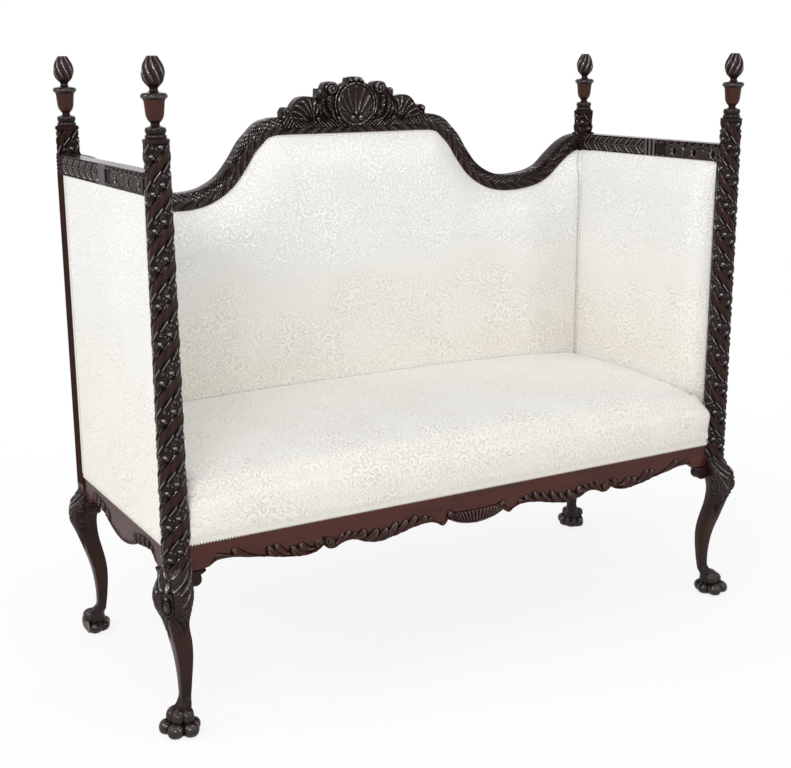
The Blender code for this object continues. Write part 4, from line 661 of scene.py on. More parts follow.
def makeShaft(side, facing, low, high):
    # the leaf bands between two heights, and above them a plain collar with a groove under it
    turn = onceRound(post["around"])
    z = np.linspace(low, high, max(2, round((high - low) / post["step"])))[:, None]
    radius, glint, plain = shaftRadius(turn, z)
    collar = ease(post["collar"], post["collar"] + 0.0015, z)
    radius = radius * (1 - collar) + post["topRadius"] * collar - 0.0009 * bell(z - post["groove"], 0.0006)
    radius = radius - 0.0012 * ease(post["top"] - 0.0008, post["top"], z)
    # painted shade in the hollows between the bands; the crown mark below carries the painted glints, low on
    # the collar
    cavity = np.maximum(0.62 * hollows(radius, 0.0034, True, 3), 0.50 * hollows(radius, 0.0015, True, 1))
    return solid(postPoints(side, facing, turn, z, radius), cavity=cavity, plain=plain,
                 crown=glint * (1 - collar) + 0.12 * collar)


def makeSquare(side, facing):
    # the plain part of a back post, its arrises eased; between the top rails it is carved like them
    turn = onceRound(post["squareAround"])
    top, carvedFrom = post["squareTop"], post["squareCarved"]
    z = np.concatenate([[post["join"] - 0.0005], np.linspace(post["join"], carvedFrom - 0.0005, 30),
                        np.linspace(carvedFrom + 0.0003, top - 0.005, 60),
                        top - 0.004 + np.array([0, 0.0012, 0.0024, 0.0034, 0.004])])[:, None]
    c, s = np.abs(np.cos(turn + pi / 4)), np.abs(np.sin(turn + pi / 4))
    radius = post["squareHalf"] / (c ** 24 + s ** 24) ** (1 / 24) + 0 * z
    radius = radius * (1 - 0.16 * np.clip((z - top + 0.004) / 0.004, 0, 1) ** 2)
    carved = ease(carvedFrom, carvedFrom + 0.0015, z) * (1 - ease(top - 0.006, top - 0.003, z))
    strokes = reeds((z * 1000 + 14 * np.cos(turn * 4)) / 7.5)
    radius = radius - 0.0016 * carved * (1 - strokes)
    # cavity paints shade between the carved strokes and darkens the plain part all over; crown paints glints on
    # the strokes
    return solid(postPoints(side, facing, turn, z, radius),
                 cavity=0.7 * carved * ease(0.5, 0.1, strokes) + 0.44 * (1 - carved),
                 plain=0.62 - 0.57 * ease(carvedFrom - 0.0015, carvedFrom + 0.0015, z),
                 crown=0.5 * carved * ease(0.85, 0.98, strokes))


for side, facing, name in corners:
    node = name + "_post"
    build(node + "_leg", [makeLeg(side, facing)], woodZ, (node,), sharp=50)
    if facing < 0:
        middle = (post["join"] + post["top"]) / 2
        for part, low, high in (("low", post["join"], middle), ("high", middle, post["top"])):
            build(f"{node}_shaft_{part}", [makeShaft(side, facing, low, high)], woodZ, (node,), sharp=50)
    else:
        parts = [makeSquare(side, facing), makeShaft(side, facing, post["squareTop"] - 0.006, post["top"])]
        build(node + "_shaft", parts, woodDull, (node,), sharp=50)
print("posts made")

finial = dict(around=92, rows=170, flutes=9, flute=0.0026, twist=1.25, budFoot=1.198, tip=1.250)
finialTable = np.array([   # height and radius, in millimetres, from the post to the tip
    (1112.2, 18.2), (1112.6, 18.8), (1117.6, 18.8), (1118.4, 18.3), (1119.2, 16.2), (1120.6, 16.2),
    (1121.4, 17.2), (1123.6, 18.1), (1126.2, 18.4), (1128.8, 18.1), (1131.0, 17.0), (1132.4, 12.5),
    (1133.6, 8.8), (1135.2, 7.7), (1137.6, 7.8), (1139.4, 8.6), (1140.8, 10.2), (1143.4, 12.4),
    (1147.0, 14.3), (1153.0, 16.0), (1164.0, 17.0), (1174.0, 17.9), (1177.6, 19.0), (1179.4, 20.6),
    (1180.6, 22.6), (1182.2, 23.4), (1184.6, 23.3), (1186.8, 22.0), (1188.4, 20.4), (1189.4, 14.0),
    (1190.2, 9.4), (1192.6, 7.6), (1195.7, 7.2), (1198.4, 8.6), (1200.8, 11.4), (1205.0, 15.4),
    (1210.5, 18.6), (1217.0, 20.5), (1222.5, 20.9), (1229.0, 20.0), (1236.0, 17.9), (1242.0, 14.6),
    (1246.5, 11.8), (1249.2, 9.9), (1250.1, 8.2), (1250.2, 5.0)]) / 1000


def makeFinial(side, facing):
    # a turned profile, its bud cut into twisted flame flutes that deepen upwards
    turn = onceRound(finial["around"])
    steps = lengths(finialTable)
    s = np.linspace(0, steps[-1], finial["rows"])
    z, radius = (np.interp(s, steps, finialTable[:, i])[:, None] for i in (0, 1))
    up = np.clip((z - finial["budFoot"]) / (finial["tip"] - finial["budFoot"]), 0, 1)
    phase = finial["flutes"] * (turn * side - finial["twist"] * up ** 0.8) / (2 * pi)
    saw = phase % 1
    flute = np.clip(saw / 0.30, 0, 1) * np.clip((1 - saw) / 0.70, 0, 1) ** 0.6
    second = np.abs((phase * 2 + 0.2) % 1 - 0.5) * 2
    depth = finial["flute"] * ease(0.02, 0.35, up) * (1 - 0.35 * ease(0.85, 1.0, up))
    shape = radius - depth * (1 - flute) * 1.25 - depth * 0.22 * (1 - second) * ease(0.3, 0.6, up)
    urn = ease(1.1395, 1.1440, z) * (1 - ease(1.1760, 1.1790, z))
    grid = together(side * post["halfSpacing"] + shape * np.cos(turn),
                    facing * post["halfDepth"] + shape * np.sin(turn), z)
    # cavity paints shade in the flutes and the turned hollows; crown paints glints on their edges, less on the
    # urn
    return solid(grid, cavity=hollows(shape, 0.0019, True), plain=0.50 * urn + 0.18 * ease(0.0, 0.15, up),
                 crown=np.clip(crowns(shape, 0.0014, True) - 0.15 * urn, 0, 1))


for side, facing, name in corners:
    name += "_finial"
    build(name + "_turned", [makeFinial(side, facing)], woodZ, (name,), sharp=45)
print("finials made")

rail = dict(top=0.430, thick=0.028, front=-0.2655, sideFace=0.6795, sideThick=0.027, endX=0.6418,
            endY=0.2408, carved=0.030)
frontEdge = [   # half the apron's lower edge: place from the middle and height, in millimetres
    [(0, 297), (24, 299.5), (50, 306), (70.5, 316)],
    [(70.5, 316), (76, 308), (82, 304.5), (95, 311.5), (112, 317), (133, 317.5), (164, 313),
     (200, 305), (239, 300.5), (268, 306), (284, 313), (306, 315), (322, 311), (334, 305.5),
     (348, 307), (359, 315.5)],
    [(359, 315.5), (368, 309), (380, 305.5), (404, 303.5), (428, 306), (470, 314), (517, 323),
     (560, 330), (585, 328.5), (602, 319), (610, 318), (645, 318)]]
sideEdge = [
    [(0, 302), (30, 305), (64, 313), (86, 321)],
    [(86, 321), (95, 325), (125, 331), (155, 336), (185, 335), (199, 323), (206, 318), (243, 318)]]
frontLobes = [  # base and tip (place from the middle, height above the edge), bow, half width, lift, grooves
    ((482, 2), (552, 14), -0.12, 9, 4.0, 2), ((516, 0), (586, 8), -0.06, 6.1, 3.0, 1),
    ((420, 1), (480, 18), -0.17, 10.5, 4.6, 3), ((428, 6), (464, 24), -0.14, 9, 4.0, 2),
    ((370, 2), (430, 18), -0.17, 10.5, 4.6, 3), ((378, 9), (412, 24), -0.12, 8.1, 4.0, 2),
    ((342, 3), (314, 20), 0.12, 5.6, 3.0, 1), ((328, 3), (298, 19), 0.12, 5.6, 3.0, 1),
    ((312, 2), (284, 15), 0.12, 5.4, 2.6, 1), ((300, 3), (264, 24), 0.20, 8.5, 4.6, 2),
    ((288, 2), (236, 25), 0.17, 9, 4.9, 2), ((270, 1), (214, 21), 0.16, 8.3, 4.3, 2),
    ((248, 1), (192, 25), 0.17, 8.8, 4.8, 2), ((226, 0), (168, 20), 0.16, 8.1, 4.3, 2),
    ((204, 1), (146, 21), 0.16, 8.1, 4.6, 2), ((184, 0), (122, 15), 0.14, 7.3, 4.0, 2),
    ((160, 0), (106, 10), 0.10, 5.6, 3.4, 1)]
frontCurls = [  # middle, radius, lift, turns, hand and start
    (369, 15, 8.4, 3.2, 1.3, 1, 0.1), (344, 13, 11.0, 4.2, 1.6, -1, 0.1), (63, 13, 9.0, 4.6, 1.3, 1, 0.2)]
sideLobes = [
    ((94, 0), (72, 21), -0.10, 8.6, 3.6, 2), ((116, 0), (103, 20), -0.10, 9.2, 4.2, 2),
    ((139, 0), (128, 20), -0.10, 8.8, 4.2, 2), ((164, 0), (154, 17), -0.10, 8.6, 3.8, 2),
    ((186, 0), (176, 11), -0.10, 6.0, 3.0, 1)]


def frontCarving(x, d):
    # leaf lobes along the lower edge: x from the middle, d above the edge, both in mm
    fanHalf = 66
    lip = 1.8 * ridge(d - 1.6, 1.7) * (x > fanHalf) * (1 - ease(590, 606, x))
    height = 23 * np.clip(1 - (x / fanHalf) ** 2, 0, 1) ** 0.40
    ribs = reeds(x / (1 + 0.020 * (d - 4)) / 6.8 + 0.5, 0.6)
    shell = (x < fanHalf) * np.where(
        d < 5.6, 4.6 * ridge(d - 2.8, 2.9),
        (d < 5 + height) * (0.6 + 3.6 * ribs * np.clip((5.5 + height - d) / 6, 0, 1) ** 0.5))
    return np.maximum.reduce([several(lobe, x, d, frontLobes), several(curl, x, d, frontCurls), lip, shell,
                              frond(x, d, (69, 4), (88, 3), 0.10, 3.4, 2.4)])


def sideCarving(x, d):
    # the same over the sides' lower edges: five leaves, a curl and four small fronds
    fronds = [((12 + 15 * k, 1), (22 + 14 * k, 12 - k), 0.10, 2.0, 0.9, 0.1) for k in range(4)]
    lip = 1.6 * ridge(d - 1.5, 1.6) * (1 - ease(196, 206, x))
    return np.maximum.reduce([several(lobe, x, d, sideLobes), curl(x, d, 80, 8, 8.0, 3.4, 1.2, 1, 0.3),
                              several(frond, x, d, fronds), lip])


def makeApron(end, step, edge, carving, face, thick, outward, red, alongY=False):
    # a closed section carried along the rail: back, underside, carved face, top; the rows are dense in the
    # carved zone over the edge, and share out the rest
    along = np.linspace(-end, end, int(2 * end / step))
    low = withCusps(np.abs(along) * 1000, edge)[:, None] / 1000
    zone = rail["carved"]
    d = np.concatenate([np.linspace(0, zone, 44), np.linspace(0.033, 1, 9)[1:]])[None, :]
    height = np.where(d < zone + 0.001, low + d, low + zone + (rail["top"] - low - zone) * d)
    relief = carving(np.abs(along)[:, None] * 1000, (height - low) * 1000) / 1000
    # ditch deepens the outlines round the lobes and, as the cavity mark, paints shade in them
    ditch = np.clip(hollows(relief, 0.0022, False, 3) + 0.7 * hollows(relief, 0.0012, False, 1), 0, 1)
    carved = (relief - 0.0014 * ditch) * ease(0, 0.0012, height - low + 0.0004)
    carved *= 1 - ease(end - 0.004, end, np.abs(along))[:, None]
    front = face + outward * carved
    front[:, 0] -= outward * 0.0010
    inner = face - outward * thick
    depth = columns(inner, front, inner)
    levels = columns(low, height, rail["top"])
    places = along[:, None]
    grid = together(depth, places, levels) if alongY else together(places, depth, levels)
    # crown paints glints on the lobes' tops
    return solid(grid, cavity=columns(0, ditch, 0), crown=columns(0.1, 0.50 * crowns(relief, 0.0010), 0.1),
                 plain=columns(0.5, red * (1 - 0.48 * ease(0.0004, 0.0020, relief)), 0.5))


build("front_apron", [makeApron(rail["endX"], 0.00155, frontEdge, frontCarving, rail["front"],
                                rail["thick"], -1, red=0.84)], woodX, ("front_seat_rail",), sharp=50)
for side, sideName in sides:
    build(sideName + "_apron", [makeApron(rail["endY"], 0.0015, sideEdge, sideCarving,
                                          side * rail["sideFace"], rail["sideThick"], side, 0.56, True)],
          woodY, (sideName + "_seat_rail",), sharp=50)
print("aprons made")

ear = dict(top=0.3177, seat=0.0205, deep=0.030, proud=0.005, points=96)
earShape = np.array([   # a barrel with a small leaf tip above it: distance from the post's axis, and height
    (20.5, 317.7), (56.0, 317.7), (56.6, 316.2), (54.0, 314.0), (50.0, 312.8), (46.8, 311.6),
    (45.4, 309.6), (46.2, 306.0), (47.0, 301.5), (46.6, 296.5), (44.4, 291.6), (40.6, 288.2),
    (36.0, 286.9), (31.0, 287.4), (27.0, 289.0), (24.0, 289.6), (20.5, 289.8), (20.5, 317.7)]) / 1000


def makeEar(side, facing, alongX):
    # the outline carried through the block's depth, swelling towards the face and eased at both ends
    s = lengths(earShape)
    t = np.linspace(0, s[-1], ear["points"] + 1)[:-1]
    outline = together(*(np.interp(t, s, earShape[:, i]) for i in (0, 1)))
    middle = outline.mean(0)
    deep = ear["deep"]
    depth = np.concatenate([[0, 0.0006, 0.0016, 0.0032], np.linspace(0.005, deep - 0.003, 12),
                            [deep - 0.001, deep]])
    shrink = 1 - 0.10 * (1 - ease(0, 0.0032, depth)) - 0.05 * ease(deep - 0.003, deep, depth)
    wave = 1 - 0.035 * (0.5 - 0.5 * np.cos(2 * pi * np.clip((depth - 0.006) / 0.018, 0, 1)))
    profile = middle + (outline[None, :, :] - middle) * (shrink * wave)[:, None, None]
    away, z = np.maximum(profile[..., 0], ear["seat"]), np.minimum(profile[..., 1], ear["top"])
    depth = depth[:, None] - ear["proud"]
    if alongX:
        grid = together(side * (post["halfSpacing"] - away), rail["front"] + depth, z)
    else:
        grid = together(side * (rail["sideFace"] - depth), facing * (post["halfDepth"] - away), z)
    return solid(grid, cavity=0.10, plain=0.10, crown=0.16)


for side, sideName in sides:
    name = f"front_{sideName}_apron_ear"
    build(name + "_scroll", [makeEar(side, -1, True)], woodX, (name,), sharp=40)
    for facing, facingName in ((-1, "front"), (1, "back")):
        name = f"{facingName}_{sideName}_side_ear"
        build(name + "_scroll", [makeEar(side, facing, False)], woodY, (name,), sharp=40)
print("ears made")

topRail = dict(half=0.020, front=0.2515, back=0.2835, ledge=0.012, ledgeBack=0.2755, ledgeFront=0.2565,
               end=0.6418, step=0.0017)
serpentine = [  # half the rail's middle line: place from the middle and height, in millimetres
    (0, 1096.5), (99, 1096.5), (182, 1096.5), (199, 1095.9), (215, 1093.1), (230, 1087.0),
    (246, 1072.3), (264, 1054.0), (287, 1020.0), (299, 1004.1), (311, 989.5), (324, 977.5),
    (337, 968.0), (352, 959.5), (367, 952.6), (401, 944.3), (435, 942.5), (474, 945.7),
    (508, 953.0), (536, 966.0), (567, 992.2), (598, 1017.0), (621, 1029.0), (642.6, 1034.5)]


def alongSerpentine():
    # places, tangents and running length of the rail's middle line, from left to right
    x = np.linspace(-topRail["end"], topRail["end"], 6000)
    places, heights = np.array(serpentine).T / 1000
    z = through(np.abs(x), places, heights)
    s = lengths(together(x, z))
    t = np.linspace(0, s[-1], int(s[-1] / topRail["step"]))
    x, z = np.interp(t, s, x), np.interp(t, s, z)
    dx, dz = np.gradient(x), np.gradient(z)
    size = np.hypot(dx, dz)
    return x, z, dx / size, dz / size, t - t[-1] / 2


def leafRun(s, w, half):
    # in mm, s along the rail, w across it: broad veined leaves on the inner half, fine leaflets on the outer
    bend = 3.0 * np.sin(s * 2 * pi / 61) + 1.6 * np.sin(s * 2 * pi / 37 + 1)
    broad = (s + bend - 2.3 * w - 0.05 * w ** 2) / 30
    blade = reeds(broad, 0.6)
    veins = 0.5 + 0.5 * np.cos(2 * pi * broad * 4)
    inner = blade * (0.78 + 0.22 * veins) * ease(9.5, 3.5, w) * ease(-half, -half + 3, w)
    leaflet = reeds((s * 1.03 - bend - 1.7 * w + 1.5 * np.sin(w * 0.5 + s * 0.09)) / 9.6)
    outer = leaflet * (0.86 + 0.14 * np.sin(s * 2 * pi / 27)) * ease(-5, 2.5, w)
    outer *= ease(half + 0.5, half - 1.5, w)
    tips = 0.9 * reeds((s + 1.2 * w) / 9.5) * ease(-half + 6.5, -half + 4.5, w)
    height = np.maximum.reduce([inner, outer, tips])
    # painted highlights: glints broken into dashes along the leaflets, the blades' veins and the tips, through
    # a raised coat
    wave = np.sin(2 * pi * (s / 15.1 + w / 9 + 0.3 * np.sin(s / 29)))
    dash = ease(-0.45, 0.15, wave) * (0.45 + 0.55 * ease(-0.3, 0.3, np.sin(s / 41 + w / 7)))
    glint = np.maximum.reduce([
        ease(0.68, 0.93, leaflet) * (outer >= height - 0.03) * dash,
        ease(0.70, 0.97, blade * veins) * (inner >= height - 0.03) * (0.35 + 0.65 * dash),
        0.8 * ease(0.75, 0.97, tips) * dash, 0.27 + 0 * height])
    return height, glint, 0.45 * ease(0.4, 0.9, blade) * (inner >= height - 0.02) * (w < 3)


def makeBackTopRail():
    # the section square to the serpentine: carved face, back, and a ledge below that carries the covers
    x, z, tx, tz, s = (v[:, None] for v in alongSerpentine())
    r, half, ledge = topRail, topRail["half"], topRail["half"] + topRail["ledge"]
    w = np.linspace(-half, half, 56)[None, :]
    strokes, glint, smooth = leafRun(1000 - 1000 * np.abs(s), 1000 * w, 1000 * half)
    edge = 0.72 * ridge(w - half + 0.0012, 0.0014)
    relief = np.maximum(strokes, edge) * 0.0048 - 0.0034
    relief *= 1 - ease(r["end"] - 0.004, r["end"], np.abs(x))
    front = r["front"] - relief + 0.0012 * (1 - np.clip((half - np.abs(w)) / 0.0012, 0, 1))
    across = columns(-ledge, -half, w, half, -half, -ledge)
    depth = columns(r["ledgeFront"], r["ledgeFront"], front, r["back"], r["back"], r["ledgeBack"])
    grid = together(np.clip(x - tz * across, -r["end"], r["end"]), depth, z + tx * across)
    plain = 0.08 + 0.30 * smooth * ease(0.02, 0.45, np.abs(tz))
    # cavity paints shade in the carving's hollows; crown carries its painted glints and a sheen on the back
    return solid(grid, cavity=columns(0, 0, hollows(relief, 0.0024), 0, 0, 0),
                 plain=columns(0.25, 0.25, plain, 0.1, 0.25, 0.25), crown=columns(0, 0, glint, 0.30, 0, 0))


sideTop = dict(outer=0.6825, inner=0.6495, low=1.0145, high=1.0545, end=0.2408, ledge=0.012,
               ledgeOut=0.6795, ledgeIn=0.6525, along=430, across=48)
sidePits = ((96, 0.0), (162, 0.4), (223, 0.8))      # places of the deep gouges, and how their leaflets turn


def chevrons(y, w, half):
    # in mm, y from the front end's side (negative) to the back: leaves that point to three bars, deep gouges
    a = np.abs(y + 8)
    bars = ridge(a - np.round(a / 14) * 14, 4.6) * (a < 20)
    vee = (a - 24 + np.abs(w) * 0.9 + w ** 2 * 0.012) / 20
    veins = reeds(vee, 0.7) * (0.72 + 0.28 * np.cos(pi * vee * 3))
    stem = ridge(w, 2.2, 1) * 0.75
    back = np.maximum(veins * np.clip((half - 1.5 - np.abs(w)) / 4.0, 0, 1) ** 0.5, stem * (a > 30))
    front = np.full_like(back, 0.30)
    pits = np.zeros_like(back)
    for c, fan in sidePits:
        turn = np.arctan2(w + 4, np.abs(y + c) + 0.01)
        far = np.hypot(y + c, w + 4)
        ribs = 0.62 + 0.38 * np.abs(np.sin(turn * 3.4 + fan + far * 0.05)) ** 0.7
        front = np.maximum(front, ribs * ease(4, 9, far) * ease(36, 29, far))
        pits = np.maximum(pits, dome(y, w, -c, -4.0, 7.0, 9.5, 1.0))
    hooks = reeds((y + w * 0.9) / 24) * np.clip((w - half + 10.5) / 3.0, 0, 1)
    strokes = reeds((y - w * 1.6) / 20) * np.clip((-w - half + 8) / 3.0, 0, 1)
    front = np.maximum.reduce([front * (w < half - 8.5), hooks, 0.85 * strokes]) * (1 - pits)
    grain = 0.93 + 0.07 * np.sin(y * 1.9 + 2.2 * np.sin(w * 0.8)) * np.sin(w * 1.3 + y * 0.21)
    edge = (0.7 + 0.3 * np.cos(2 * pi * y / 13)) * np.clip((np.abs(w) - half + 2.4) / 1.2, 0, 1)
    return np.where(a < 21, bars, np.maximum(np.where(y > -8, back, front) * grain, edge))


def makeSideTopRail(side):
    # carved alike on its outer and inner face, with a ledge below between the covers
    r = sideTop
    y = np.linspace(-r["end"], r["end"], r["along"])[:, None]
    half, middle = (r["high"] - r["low"]) / 2, (r["high"] + r["low"]) / 2
    w = np.linspace(-half, half, r["across"])[None, :]
    shape = chevrons(y * 1000, w * 1000, half * 1000)
    relief = shape * 0.0062 - 0.0050
    relief *= 1 - ease(r["end"] - 0.003, r["end"], np.abs(y))
    inner = (r["inner"] - relief)[:, ::-1]
    depth = columns(r["ledgeIn"], r["ledgeOut"], r["ledgeOut"], r["outer"] + relief, inner, r["ledgeIn"])
    foot = r["low"] - r["ledge"]
    levels = columns(foot, foot, r["low"], middle + w, middle + w[:, ::-1], r["low"])
    # pit paints shade in the hollows and the low gouges; peak paints glints on the crowns, through the coat
    pit = np.clip(1.1 * hollows(relief, 0.0016) + 0.9 * ease(0.45, 0.10, shape), 0, 1)
    peak = 0.24 + 0.76 * crowns(relief, 0.0011, False, 1)
    cavity, crown = (columns(0, 0, 0, a, a[:, ::-1], 0) for a in (pit, peak))
    return solid(together(depth * side, y, levels), cavity=cavity, plain=0.16, crown=crown)


build("back_top_rail_carved", [makeBackTopRail()], woodX, ("back_top_rail",), sharp=50)
for side, sideName in sides:
    build(sideName + "_top_rail_carved", [makeSideTopRail(side)], woodY, (sideName + "_top_rail",), sharp=50)
print("top rails made")

crest = dict(half=185, foot=1092.5, base=1116.8, front=0.2515, back=0.2715, cell=1.05, rows=130, ground=2.2,
             shellMiddle=1143, shellRadius=43)
crestEdge = [   # half the crest's outline: place from the middle and height, in millimetres
    [(0, 1202.6), (8, 1202.2), (14, 1200.0), (20, 1196.5), (21.5, 1190)],
    [(21.5, 1190), (29, 1187.5), (38, 1182.5), (44, 1179.5)],
    [(44, 1179.5), (46, 1186), (52, 1190.5), (61, 1192.4), (70, 1191.4), (78, 1187.2), (82.5, 1179)],
    [(82.5, 1179), (84, 1174.5), (90, 1176.8), (97, 1176.4), (101, 1171), (98, 1166)],
    [(96, 1161), (102, 1157.8), (110, 1159.4), (122, 1161.0), (134, 1160.4), (146, 1155), (155, 1146),
     (162, 1135)],
    [(162, 1135), (166, 1136.5), (173, 1138.2), (180, 1136), (185, 1128)]]
crestLobes = [  # base, tip, bow, half width, lift and grooves: the side fans' fingers, then the leaves
    ((103, 1103), (88, 1147), -0.14, 6.4, 12.0, 2), ((106, 1104), (104, 1155), -0.10, 7.0, 13.5, 2),
    ((109, 1104), (122, 1158), 0.02, 7.2, 13.0, 2), ((113, 1103), (139, 1153), 0.08, 7.2, 13.5, 2),
    ((118, 1102), (153, 1143), 0.12, 6.8, 12.5, 2), ((124, 1101), (161, 1129), 0.14, 6.2, 12.0, 2),
    ((14, 1098), (40, 1124), 0.20, 4.6, 12, 1), ((24, 1097), (50, 1112), 0.20, 4.4, 11, 1),
    ((52, 1112), (68, 1164), -0.16, 6.0, 13, 3), ((60, 1104), (84, 1158), -0.18, 6.0, 12.5, 3),
    ((72, 1102), (94, 1150), -0.16, 5.6, 12, 3), ((46, 1100), (60, 1132), -0.14, 5, 11, 2),
    ((118, 1100), (150, 1112), 0.18, 4.8, 12.5, 2), ((136, 1100), (168, 1116), 0.16, 4.8, 11.5, 2)]
crestCurls = [  # middle, radius, lift, turns, hand and start
    (98, 1110, 8.0, 13.5, 1.4, -1, 0.2), (11, 1112, 9.5, 15, 1.5, -1, 0.25),
    (62, 1177, 15.5, 15.5, 1.6, 1, 0.3), (92, 1169, 8.8, 12, 1.2, -1, 0.1), (176, 1130, 9.0, 13, 1.1, 1, 0.2)]
crestBeads = [  # middle, half width, half height and lift
    (0, 1122, 4.5, 8, 10), (0, 1196, 8.0, 7.5, 14), (13.5, 1194.5, 6.2, 6.0, 12.5), (24, 1187, 5.5, 5, 10),
    (99, 1173, 5, 4.5, 11), (164, 1125, 8, 6, 10)]


def crestRelief(x, z):
    # x from the middle and z up, both in mm: a ribbed shell in a double rim, scrolls, leaves, buds
    a = np.abs(x)
    r = crest["shellRadius"]
    d = np.hypot(a, z - crest["shellMiddle"])
    fan, reach = np.arctan2(x, z - 1101), np.hypot(x, z - 1101) / 84
    fins = (1 - np.abs(np.sin(fan * 11.5))) ** 1.1
    bowl = 3.0 + 5.0 * np.clip(d / r, 0, 1) ** 2.2 + 4.0 * fins * ease(0.16, 0.36, reach) * (1 - ease(38, r, d))
    mound = 6.5 * ridge(np.hypot((a - 124) / 1.15, z - 1121), 39, 0.35)
    leaflets = reeds((a - 1.25 * (z - 1092)) / 9.4, 0.7)
    foot = leaflets * (8.5 + 1.8 * np.sin(a / 7.3)) * ease(1112.5, 1107, z + 2.0 * np.sin(a / 6)) * (a > 8)
    ends = 9.5 * reeds((a + 0.6 * z) / 8.0, 0.7) * ease(150, 158, a) * ease(1132, 1126, z + 0.2 * (a - 150))
    return np.maximum.reduce([
        np.where(d < r, bowl, 0), 11.5 * ridge(d - 45.8, 3.0), 9.0 * ridge(d - 53.0, 2.8) * ease(1108, 1124, z),
        mound, foot, ends, several(lobe, a, z, crestLobes), several(curl, a, z, crestCurls),
        several(dome, a, z, crestBeads)])


def makeCrest():
    # columns run from the lap on the rail up to the outline; the back is flat
    half, lap = crest["half"], crest["front"] - 0.0003
    x = np.linspace(-half, half, int(2 * half / crest["cell"]))[:, None]
    a = np.abs(x)
    top = withCusps(a, crestEdge)
    top = np.where(top < 1, np.interp(a, (95.9, 98.1), (1161, 1166)), top)      # between two runs
    low = crest["foot"] + (1 - ease(0, 5, half - a)) * 6
    z = low + (top - low) * np.linspace(0, 1, crest["rows"])[None, :]
    relief = crestRelief(x + 0 * z, z)
    edge = np.minimum(ease(0, 2.4, top - z), ease(0, 2.0, z - low + 0.4))
    edge = np.minimum(edge, ease(0, 2.5, half - a))
    relief = np.maximum(crest["ground"], relief * (0.45 + 0.55 * edge))
    seat = np.maximum(low, crest["base"])
    depth = columns(lap, lap - relief / 1000, crest["back"], crest["back"], lap)
    grid = together(x / 1000, depth, columns(low, z, top, seat, seat) / 1000)
    # painted highlights on the carving's crowns, broken into dashes outside the shell; the cavity mark paints
    # shade in its hollows
    dashes = np.sin(x * 0.47 + 1.3 * np.sin(z * 0.19)) * np.sin(z * 0.53 + x * 0.11)
    dashes = 0.45 + 0.55 * ease(-0.2, 0.4, dashes)
    inShell = np.hypot(x, z - crest["shellMiddle"]) < crest["shellRadius"]
    crown = crowns(relief, 1.9) * np.maximum(dashes, 0.8 * inShell)
    cavity, plain, crown = (columns(0, v, 0, 0, 0) for v in (
        hollows(relief, 4.6, False, 3), 0.08 + 0.02 * inShell, crown))
    return solid(grid, cavity=cavity, plain=plain, crown=crown)


build("crest_carved", [makeCrest()], woodX, ("crest",), sharp=60)
print("crest made")

seat = dict(front=-0.2658, back=0.2098, low=0.3785, crown=0.5215, railTop=0.4318, bulge=0.0185,
            half=0.6350, innerHalf=0.6176, stepFront=-0.2395, stepBack=-0.2335, fall=0.018, cell=0.0047,
            across=220)
seatRoll = [(-0.01, 0.0), (0.30, 0.05), (0.62, 0.16), (0.90, 0.31), (1.0, 0.45), (0.93, 0.565)]
seatOver = [(0.006, 0.70), (0.038, 0.80), (0.090, 0.872), (0.180, 0.93), (0.320, 0.975), (0.520, 1.0),
            (0.740, 1.0), (1.0, 0.975)]


def seatProfile():
    # from the tacked front edge up over the roll (shares of bulge and rise) and back over the crown (shares
    # of depth and rise), with a stitched line low on the front
    face, rise, depth = seat["front"], seat["crown"] - seat["low"], seat["back"] - seat["front"]
    points = np.array([(face - seat["bulge"] * a, seat["low"] + rise * b) for a, b in seatRoll]
                      + [(face + depth * a, seat["low"] + rise * b) for a, b in seatOver])
    s = lengths(points)
    t = np.linspace(0, s[-1], int(s[-1] / seat["cell"]))
    y, z = through(t, s, points[:, 0]), through(t, s, points[:, 1])
    return y - 0.0009 * bell(t - 0.0125, 0.0016), z, t


def makeSeat():
    # the profile carried across, its ends drawn down; underneath it is flat on the hessian
    y, z, s = (v[:, None] for v in seatProfile())
    u = np.linspace(-1, 1, seat["across"])[None, :]
    u = np.sign(u) * (1 - (1 - np.abs(u)) ** 1.35)
    step = 1 - ease(seat["stepFront"], seat["stepBack"], y)
    wide = seat["innerHalf"] + (seat["half"] - seat["innerHalf"]) * step
    x = wide * u
    rise = np.clip((z - seat["railTop"]) / (seat["crown"] - seat["railTop"]), 0, 1)
    inset = wide - np.abs(x)
    tuck = (0.006 * np.exp(-inset / 0.010) + 0.003 * np.exp(-inset / 0.016) * ease(-0.215, -0.250, y)) \
        * ease(0, 0.2, rise)
    pinch = 0.0095 * np.exp(-inset / 0.014) * ease(-0.20, -0.25, y) \
        * ease(seat["low"] + 0.004, seat["low"] + 0.035, z)
    waves = 0.0007 * np.sin(x * 23 + 1.3) * np.sin(s * 17) + 0.0004 * np.sin(x * 61) * np.sin(s * 9)
    top = together(x, y + pinch, z - seat["fall"] * rise * np.abs(u) ** 3.2 - tuck + waves * rise)
    under = top.copy()
    under[..., 1] = np.maximum(under[..., 1], seat["front"] + 0.0002)
    under[..., 2] = np.minimum(under[..., 2], seat["railTop"])
    under[0] = top[0]
    uv = together(x, s)
    parts = [skin(top, uv), skin(under, uv)]
    for a, b, c in ((top[:, 0], under[:, 0], uv[:, 0]), (top[:, -1], under[:, -1], uv[:, -1]),
                    (top[-1], under[-1], uv[-1])):
        parts.append(skin(np.stack([a, b]), np.stack([c, c])))
    return parts


def backEdge(x):
    # the lower edge of the back top rail's carved face, square to the serpentine line
    cx, cz, tx, tz = alongSerpentine()[:4]
    return np.interp(x, cx + tz * topRail["half"], cz - tx * topRail["half"])


